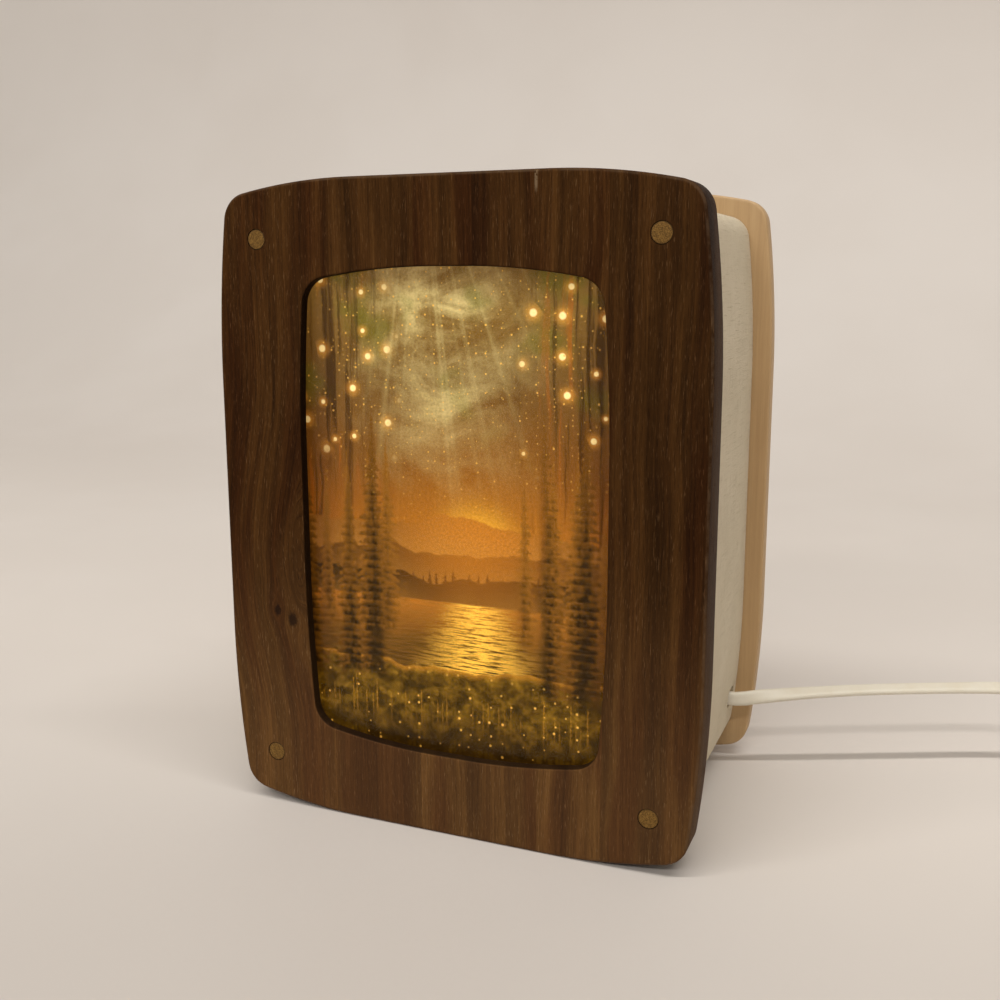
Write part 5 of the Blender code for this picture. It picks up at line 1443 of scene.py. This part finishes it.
def makeScrew(name, x, z, seatY, length):
    # the head faces the front, towards -Y
    s = screwSizes
    profile = [(0, length), (0.3, length)]
    count = int(length / 0.55)
    for i in range(count):
        profile.append((s["radius"] * (1.0 if i % 2 else 0.8) * min(1.0, 0.35 + 0.22 * i), length - 0.3 - (length - 0.6) * i / count))
    profile += [(s["radius"], 0.2), (s["radius"], 0)]
    profile += [(s["head"], 0), (s["head"], -0.25)]
    profile += [(s["head"] * math.cos(math.pi / 2 * i / 8), -0.25 - (s["headHigh"] - 0.25) * math.sin(math.pi / 2 * i / 8)) for i in range(1, 8)] + [(0, -s["headHigh"])]
    screw = lathe(name, [(r * mm, h * mm) for r, h in profile], (x * mm, seatY * mm, z * mm), 32, axis="Y")
    thin, wide, deep = s["cross"]
    for a, b in ((thin, wide), (wide, thin)):
        loop = [(-a / 2, -b / 2), (a / 2, -b / 2), (a / 2, b / 2), (-a / 2, b / 2)]
        rings = [[((x + u) * mm, (seatY - y) * mm, (z + v) * mm) for u, v in loop] for y in (s["headHigh"] - deep, s["headHigh"] + 1)]
        combine(screw, loft("cutter", rings))
    shadeBy(screw, 35)
    return dress(screw, steelZinc)


bracketFace = 41.75 - 0.3 - 1.5
for name, node, x, z, seatY, length in (
    ("upperBracketScrew", "bracket_screw_2", None, None, bracketFace, 6.0),
    ("lowerBracketScrew", "bracket_screw_1", None, None, bracketFace, 6.0),
    ("clampScrew", "clamp_screw", None, None, 26.15, 14.0),
):
    low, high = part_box(node)
    x, z = (low[0] + high[0]) / 2 / mm, (low[2] + high[2]) / 2 / mm
    screw = makeScrew(name, x, z, seatY, length)
    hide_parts(node)
    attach(screw, "lamp")


# switch on the cord: base, cover and rocker
switchSizes = {"length": 58, "width": 22, "split": 7, "height": 15, "corner": 7, "wall": 1.8, "gap": 0.3, "arris": 2.4, "taper": 0.5}


def fromSwitch(x, y, z):
    at = cordLine["switch"]
    return ((at[0] + y) * mm, (at[1] - x) * mm, (at[2] + z) * mm)


def switchBlock(x0, x1, y0, y1, z0, z1, corner=0.4):
    cx, cy = (x0 + x1) / 2, (y0 + y1) / 2
    loop = roundLoop((x1 - x0) / 2, (y1 - y0) / 2, corner, 4)
    return loft("cutter", [[fromSwitch(cx + a, cy + b, z) for a, b in loop] for z in (z0, z1)])


def makeSwitchShell(name, top):
    s = switchSizes
    halfL, halfW = s["length"] / 2, s["width"] / 2

    def ring(inset, z):
        return [fromSwitch(a, b, z) for a, b in roundLoop(halfL - inset, halfW - inset, max(1.0, s["corner"] - inset), 12)]

    rings = []
    if top:
        low = s["split"] + s["gap"]
        rings += [ring(0.25, low), ring(0, low + 0.25), ring(0, low + 0.6)]
        flatTop = s["height"] - s["arris"]
        rings.append(ring(s["taper"] * 0.6, flatTop - 0.6))
        for i in range(8):
            angle = math.pi / 2 * i / 7
            rings.append(ring(s["taper"] + s["arris"] * (1 - math.cos(angle)), flatTop + s["arris"] * math.sin(angle)))
        rings.append(ring(s["taper"] + s["arris"] + 0.6, s["height"]))
    else:
        rings += [ring(2.0, 0)] + [ring(1.4 * (1 - math.sin(math.pi / 2 * i / 5)), 1.4 * (1 - math.cos(math.pi / 2 * i / 5))) for i in range(6)]
        rings += [ring(0, s["split"] - 0.5), ring(0, s["split"] - 0.2), ring(0.2, s["split"])]
    shell = loft(name, rings)
    w, half = s["wall"], s["split"]
    if top:
        combine(shell, switchBlock(-halfL + w, halfL - w, -halfW + w, halfW - w, half - 1, s["height"] - w, 4))
        combine(shell, switchBlock(-10.7, 10.7, -5.1, 5.1, half, s["height"] + 2, 1.2))
    else:
        combine(shell, switchBlock(-halfL + w, halfL - w, -halfW + w, halfW - w, w, half + 1, 4))
    combine(shell, switchBlock(-halfL - 4, halfL + 4, -2.7, 2.7, half - 1.5, half + 1.5, 1.0))
    shadeBy(shell, 30)
    return dress(shell, creamPlastic)


def makeRockerPaddle():
    axle, reach, half = 11.6, 9.5, 4.8
    outline = [(-reach, 9.6), (reach, 9.6)]
    outline += [(reach * (1 - 2 * i / 24), 15 + 2.4 * (0.25 + 0.75 * (1 - 2 * i / 24) ** 2)) for i in range(25)]
    loop = [Vector((x, z - axle)) for x, z in outline]
    count = len(loop)
    verts = [(p.x * mm, side * half * mm, p.y * mm) for side in (-1, 1) for p in loop]
    faces = [(i, (i + 1) % count, count + (i + 1) % count, count + i) for i in range(count)]
    faces += [tuple(range(count)), tuple(count + i for i in reversed(range(count)))]
    paddle = newPiece("rockerPaddle", verts, faces)
    soften = paddle.modifiers.new("soften", "BEVEL")
    soften.width = 0.5 * mm
    soften.segments = 4
    soften.limit_method = "ANGLE"
    soften.angle_limit = math.radians(35)
    bakeModifiers(paddle, 30)
    dress(paddle, creamPlastic)
    lines = []
    for x in (4.4, 7.9):
        for side in (-1, 1):
            at = side * x
            height = 15 + 2.4 * (0.25 + 0.75 * (at / reach) ** 2) - axle - 0.1
            lines.append(growRibs("touchLines", ribLine, {"Count": 2, "Radius": 0.32 * mm, "Length": 6.4 * mm, "Place": (at * mm, 0, height * mm), "Step": (-side * 1.5 * mm, 0, -0.27 * mm), "Turn": (math.pi / 2, 0, 0), "Finish": creamPlastic}))
    axlePin = dress(lathe("axlePin", [(0, -6.3 * mm), (1.5 * mm, -6.3 * mm), (1.5 * mm, 6.3 * mm), (0, 6.3 * mm)], (0, 0, 0), 24, axis="Y"), creamPlastic)
    whole = joinPieces("rockerKey", [paddle, axlePin, *lines], 30)
    turned = Matrix.Rotation(math.radians(-90), 4, "Z") @ Matrix.Rotation(math.radians(10), 4, "Y")
    at = cordLine["switch"]
    whole.data.transform(Matrix.Translation((at[0] * mm, at[1] * mm, axle * mm)) @ turned)
    return whole


for piece, node, slot, body in (
    (makeSwitchShell("switchTray", False), "switch_base", "cream_plastic", "lamp"),
    (makeSwitchShell("switchLid", True), "switch_cover", "cream_plastic", "lamp"),
    (makeRockerPaddle(), "switch_rocker", "rocker_plastic", "rocker"),
):
    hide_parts(node)
    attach(piece, body)
print("switch done")


# ties round the stored length
tieSizes = {"angles": (135, -45), "reach": 10.89, "tall": 11.85, "thick": 0.7, "wide": 6, "centre": 6.625}


def makeTie(name, angle):
    s = tieSizes
    turn = math.radians(angle)
    at = Vector((cordLine["coil"][0] + cordLine["coilRadius"] * math.cos(turn), cordLine["coil"][1] + cordLine["coilRadius"] * math.sin(turn), s["centre"]))
    out, side = Vector((math.cos(turn), math.sin(turn), 0)), Vector((-math.sin(turn), math.cos(turn), 0))

    def ring(grow, depth, corner):
        loop = roundLoop(s["reach"] + grow, s["tall"] / 2 + grow, corner, 8)
        return [tuple((at + out * a + Vector((0, 0, b)) + side * depth) * mm) for a, b in loop]

    half, t = s["wide"] / 2, s["thick"]
    rings = [ring(t - 0.15, -half, 2.0), ring(t, -half + 0.15, 2.1), ring(t, half - 0.15, 2.1), ring(t - 0.15, half, 2.0), ring(0.1, half, 1.5), ring(0, half - 0.1, 1.4), ring(0, -half + 0.1, 1.4), ring(0.1, -half, 1.5)]
    return dress(loft(name, rings, wrap=True), creamPlastic)


for name, node, angle in zip(("coilTieOuter", "coilTieInner"), ("coil_tie_1", "coil_tie_2"), tieSizes["angles"]):
    tie = makeTie(name, angle)
    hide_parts(node)
    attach(tie, "lamp")


# plug at the cord's far end
plugSizes = {"reliefLength": 20, "relief": 4.5, "length": 36, "halfWidth": 17.5, "thick": 13.7, "nose": 7.5, "pin": 2.0, "pinLength": 19, "spacing": 18.6, "sleeve": 10}


def makePlug():
    s = plugSizes
    turn = math.atan2(plugRun.y, plugRun.x)
    start = plugStart + plugRun * 0.3
    matrix = Matrix.Translation((start.x * mm, start.y * mm, s["thick"] / 2 * mm)) @ Matrix.Rotation(turn, 4, "Z")
    half, nose, long = s["halfWidth"], s["nose"], s["length"]
    side = [(0, nose), (long * 0.22, nose * 1.25), (long * 0.5, half * 0.92), (long * 0.72, half), (long, half * 0.9)]
    smooth = [(p.x, p.y) for p, _ in smoothLine([(Vector((a, b, 0)), 0) for a, b in side], 1.6)]
    outline = [(x, -y) for x, y in smooth] + [(x, y) for x, y in reversed(smooth)]
    count = len(outline)
    verts = [((x + s["reliefLength"]) * mm, y * mm, h * mm) for h in (-s["thick"] / 2, s["thick"] / 2) for x, y in outline]
    faces = [(i, (i + 1) % count, count + (i + 1) % count, count + i) for i in range(count)]
    faces += [tuple(reversed(range(count))), tuple(count + i for i in range(count))]
    body = newPiece("plugBody", verts, faces)
    soften = body.modifiers.new("soften", "BEVEL")
    soften.width = 2.6 * mm
    soften.segments = 6
    soften.limit_method = "ANGLE"
    soften.angle_limit = math.radians(50)
    bakeModifiers(body, 35)
    face = s["reliefLength"] + long
    for y in (-s["spacing"] / 2, s["spacing"] / 2):
        combine(body, lathe("cutter", [(2.3 * mm, (face - 8.3) * mm), (2.3 * mm, (face + 5) * mm)], (0, y * mm, 0), 32, axis="X"))
    shadeBy(body, 35)
    dress(body, creamPlastic)
    neck = []
    for i in range(41):
        share = i / 40
        radius = 3.1 + 1.4 * share
        groove = 0.55 if 0.08 < share < 0.9 and int(share * 14) % 2 else 0.0
        neck.append(((radius - groove) * mm, share * 21 * mm))
    relief = dress(lathe("neck", [(2.5 * mm, 0), *neck, (0, 21.5 * mm)], (0, 0, 0), 40, axis="X", smoothAngle=50), creamPlastic)
    # bars for the fingers, on the upper side alone, as the plug lies on its flat
    place = ((s["reliefLength"] + long * 0.5) * mm, 0, (s["thick"] / 2 - 0.15) * mm)
    ribs = growRibs("gripBars", ribLine, {"Count": 5, "Radius": 0.5 * mm, "Length": 17 * mm, "Place": place, "Step": (2.6 * mm, 0, 0), "Turn": (math.pi / 2, 0, 0), "Finish": creamPlastic})
    whole = joinPieces("flatPlug", [body, relief, ribs], 35)
    whole.data.transform(matrix)
    pins = []
    for name, y in (("pinOne", s["spacing"] / 2), ("pinTwo", -s["spacing"] / 2)):
        r, tip, sleeve = s["pin"], face + s["pinLength"], face + s["sleeve"]
        end = [(r * math.cos(math.pi / 2 * i / 8), tip - r + r * math.sin(math.pi / 2 * i / 8)) for i in range(8)] + [(0, tip)]
        metal = [(0, face - 8), (1.7, face - 8), (1.7, sleeve), (r, sleeve + 0.2), *end]
        metalPart = dress(lathe("metalPart", [(a * mm, b * mm) for a, b in metal], (0, y * mm, 0), 32, axis="X"), pinBrass)
        coat = [(1.7, face - 7.5), (1.95, face - 7.5), (1.95, sleeve - 0.2), (1.7, sleeve)]
        coatPart = dress(lathe("coatPart", [(a * mm, b * mm) for a, b in coat], (0, y * mm, 0), 32, axis="X"), pinSleeve)
        pin = joinPieces(name, [metalPart, coatPart], 35)
        pin.data.transform(matrix)
        pins.append(pin)
    return whole, pins


pinBrass = makeMetal("nickelledPin", rgba(206, 198, 178), rgba(176, 164, 138), stretch=(0.4, 0.4, 1.0))
pinSleeve = makePlastic("pinSleeve", rgba(196, 188, 170), rgba(176, 166, 144), 0.45)
flatPlug, plugPins = makePlug()
for piece, node, slot in zip((flatPlug, *plugPins), ("plug_body", "plug_pin_1", "plug_pin_2"), ("cream_plastic", "pin_metal", "pin_metal")):
    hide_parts(node)
    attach(piece, "lamp")
print("ties and plug done")


# stage and lights
stageLook = {"floor": rgba(220, 213, 206), "reach": 3.0, "wallAt": 1.1, "sweep": 0.55}


def makeStage():
    s = stageLook
    profile = [(-s["reach"], 0.0), (s["wallAt"] - s["sweep"], 0.0)]
    for i in range(1, 25):
        angle = math.pi / 2 * i / 24
        profile.append((s["wallAt"] - s["sweep"] + s["sweep"] * math.sin(angle), s["sweep"] * (1 - math.cos(angle))))
    profile.append((s["wallAt"], 3.0))
    verts = [(x, y, z) for x in (-3.5, 3.5) for y, z in profile]
    n = len(profile)
    faces = [(i, i + 1, n + i + 1, n + i) for i in range(n - 1)]
    mesh = bpy.data.meshes.new("studioSweep")
    mesh.from_pydata(verts, [], faces)
    mesh.shade_smooth()
    obj = bpy.data.objects.new("studioSweep", mesh)
    bpy.context.scene.collection.objects.link(obj)
    material, tree, shader = newMaterial("studioPaper")
    p = objectMm(tree)
    mottled = noiseAt(tree, p, 0.004, 3.0)
    paper = blendColour(tree, spread(tree, mottled, 0.35, 0.65, 0.0, 0.5), s["floor"], rgba(214, 206, 198))
    x, y, z = split(tree, p)
    # painted shade: the floor darkens towards the camera
    near = calc(tree, "MULTIPLY", spread(tree, y, 60.0, -330.0, 0.0, 0.54, "LINEAR"), spread(tree, y, -1500.0, -500.0))
    paper = blendColour(tree, near, paper, rgba(150, 142, 134))
    # painted shade: the backdrop darkens higher up, most towards the right
    high = calc(tree, "MULTIPLY", spread(tree, z, 150.0, 900.0), spread(tree, x, -1400.0, 400.0, 0.1, 0.41, "LINEAR"))
    paper = blendColour(tree, high, paper, rgba(150, 142, 136))
    feed(tree, shader.inputs["Base Color"], paper)
    shader.inputs["Roughness"].default_value = 0.6
    shader.inputs["Specular IOR Level"].default_value = 0.3
    mesh.materials.append(material)


makeStage()

lightLook = {
    "overhead": {"at": (0.05, -0.83, 2.3), "size": (3.2, 0.1), "turn": 22.0, "power": 41, "colour": (1.0, 0.965, 0.92)},
    "front": {"at": (0.0, -2.31, 1.8), "size": (3.0, 0.12), "turn": 22.0, "power": 29, "colour": (1.0, 0.965, 0.92)},
    "world": (0.98, 0.97, 0.95),
    "worldStrength": 0.3,
}


def makeLights():
    for name in ("overhead", "front"):
        s = lightLook[name]
        data = bpy.data.lights.new(name + "Light", "AREA")
        data.shape = "RECTANGLE"
        data.size, data.size_y = s["size"]
        data.energy = s["power"]
        data.color = s["colour"]
        lamp = bpy.data.objects.new(name + "Light", data)
        bpy.context.scene.collection.objects.link(lamp)
        lamp.location = s["at"]
        # the strips lie along the lead, so that its shadows stay thin
        along = Vector((math.cos(math.radians(s["turn"])), math.sin(math.radians(s["turn"])), 0))
        back = (Vector(s["at"]) - Vector((0.05, 0, 0.05))).normalized()
        back = (back - along * back.dot(along)).normalized()
        lamp.rotation_euler = Matrix((along, back.cross(along), back)).transposed().to_euler()
    world = bpy.data.worlds.new("studioAir")
    world.use_nodes = True
    sky = world.node_tree.nodes["Background"]
    tree = world.node_tree
    path = put(tree, "ShaderNodeLightPath").outputs
    seen = calc(tree, "MAXIMUM", calc(tree, "MAXIMUM", path["Is Camera Ray"], path["Is Glossy Ray"]), path["Is Transmission Ray"])
    feed(tree, sky.inputs["Color"], blendColour(tree, seen, (*lightLook["world"], 1), rgba(212, 204, 194)))
    feed(tree, sky.inputs["Strength"], spread(tree, seen, 0.0, 1.0, lightLook["worldStrength"], 1.0, "LINEAR"))
    bpy.context.scene.world = world
    bpy.context.scene.view_settings.view_transform = "Standard"


makeLights()
print("stage and lights done")

alongCord = ["switchTray", "switchLid", "rockerKey", "coilTieOuter", "coilTieInner", "flatPlug", "pinOne", "pinTwo"]
alongCord += ["switch_screw_1", "switch_screw_2", "switch_terminal_1", "switch_terminal_2"]
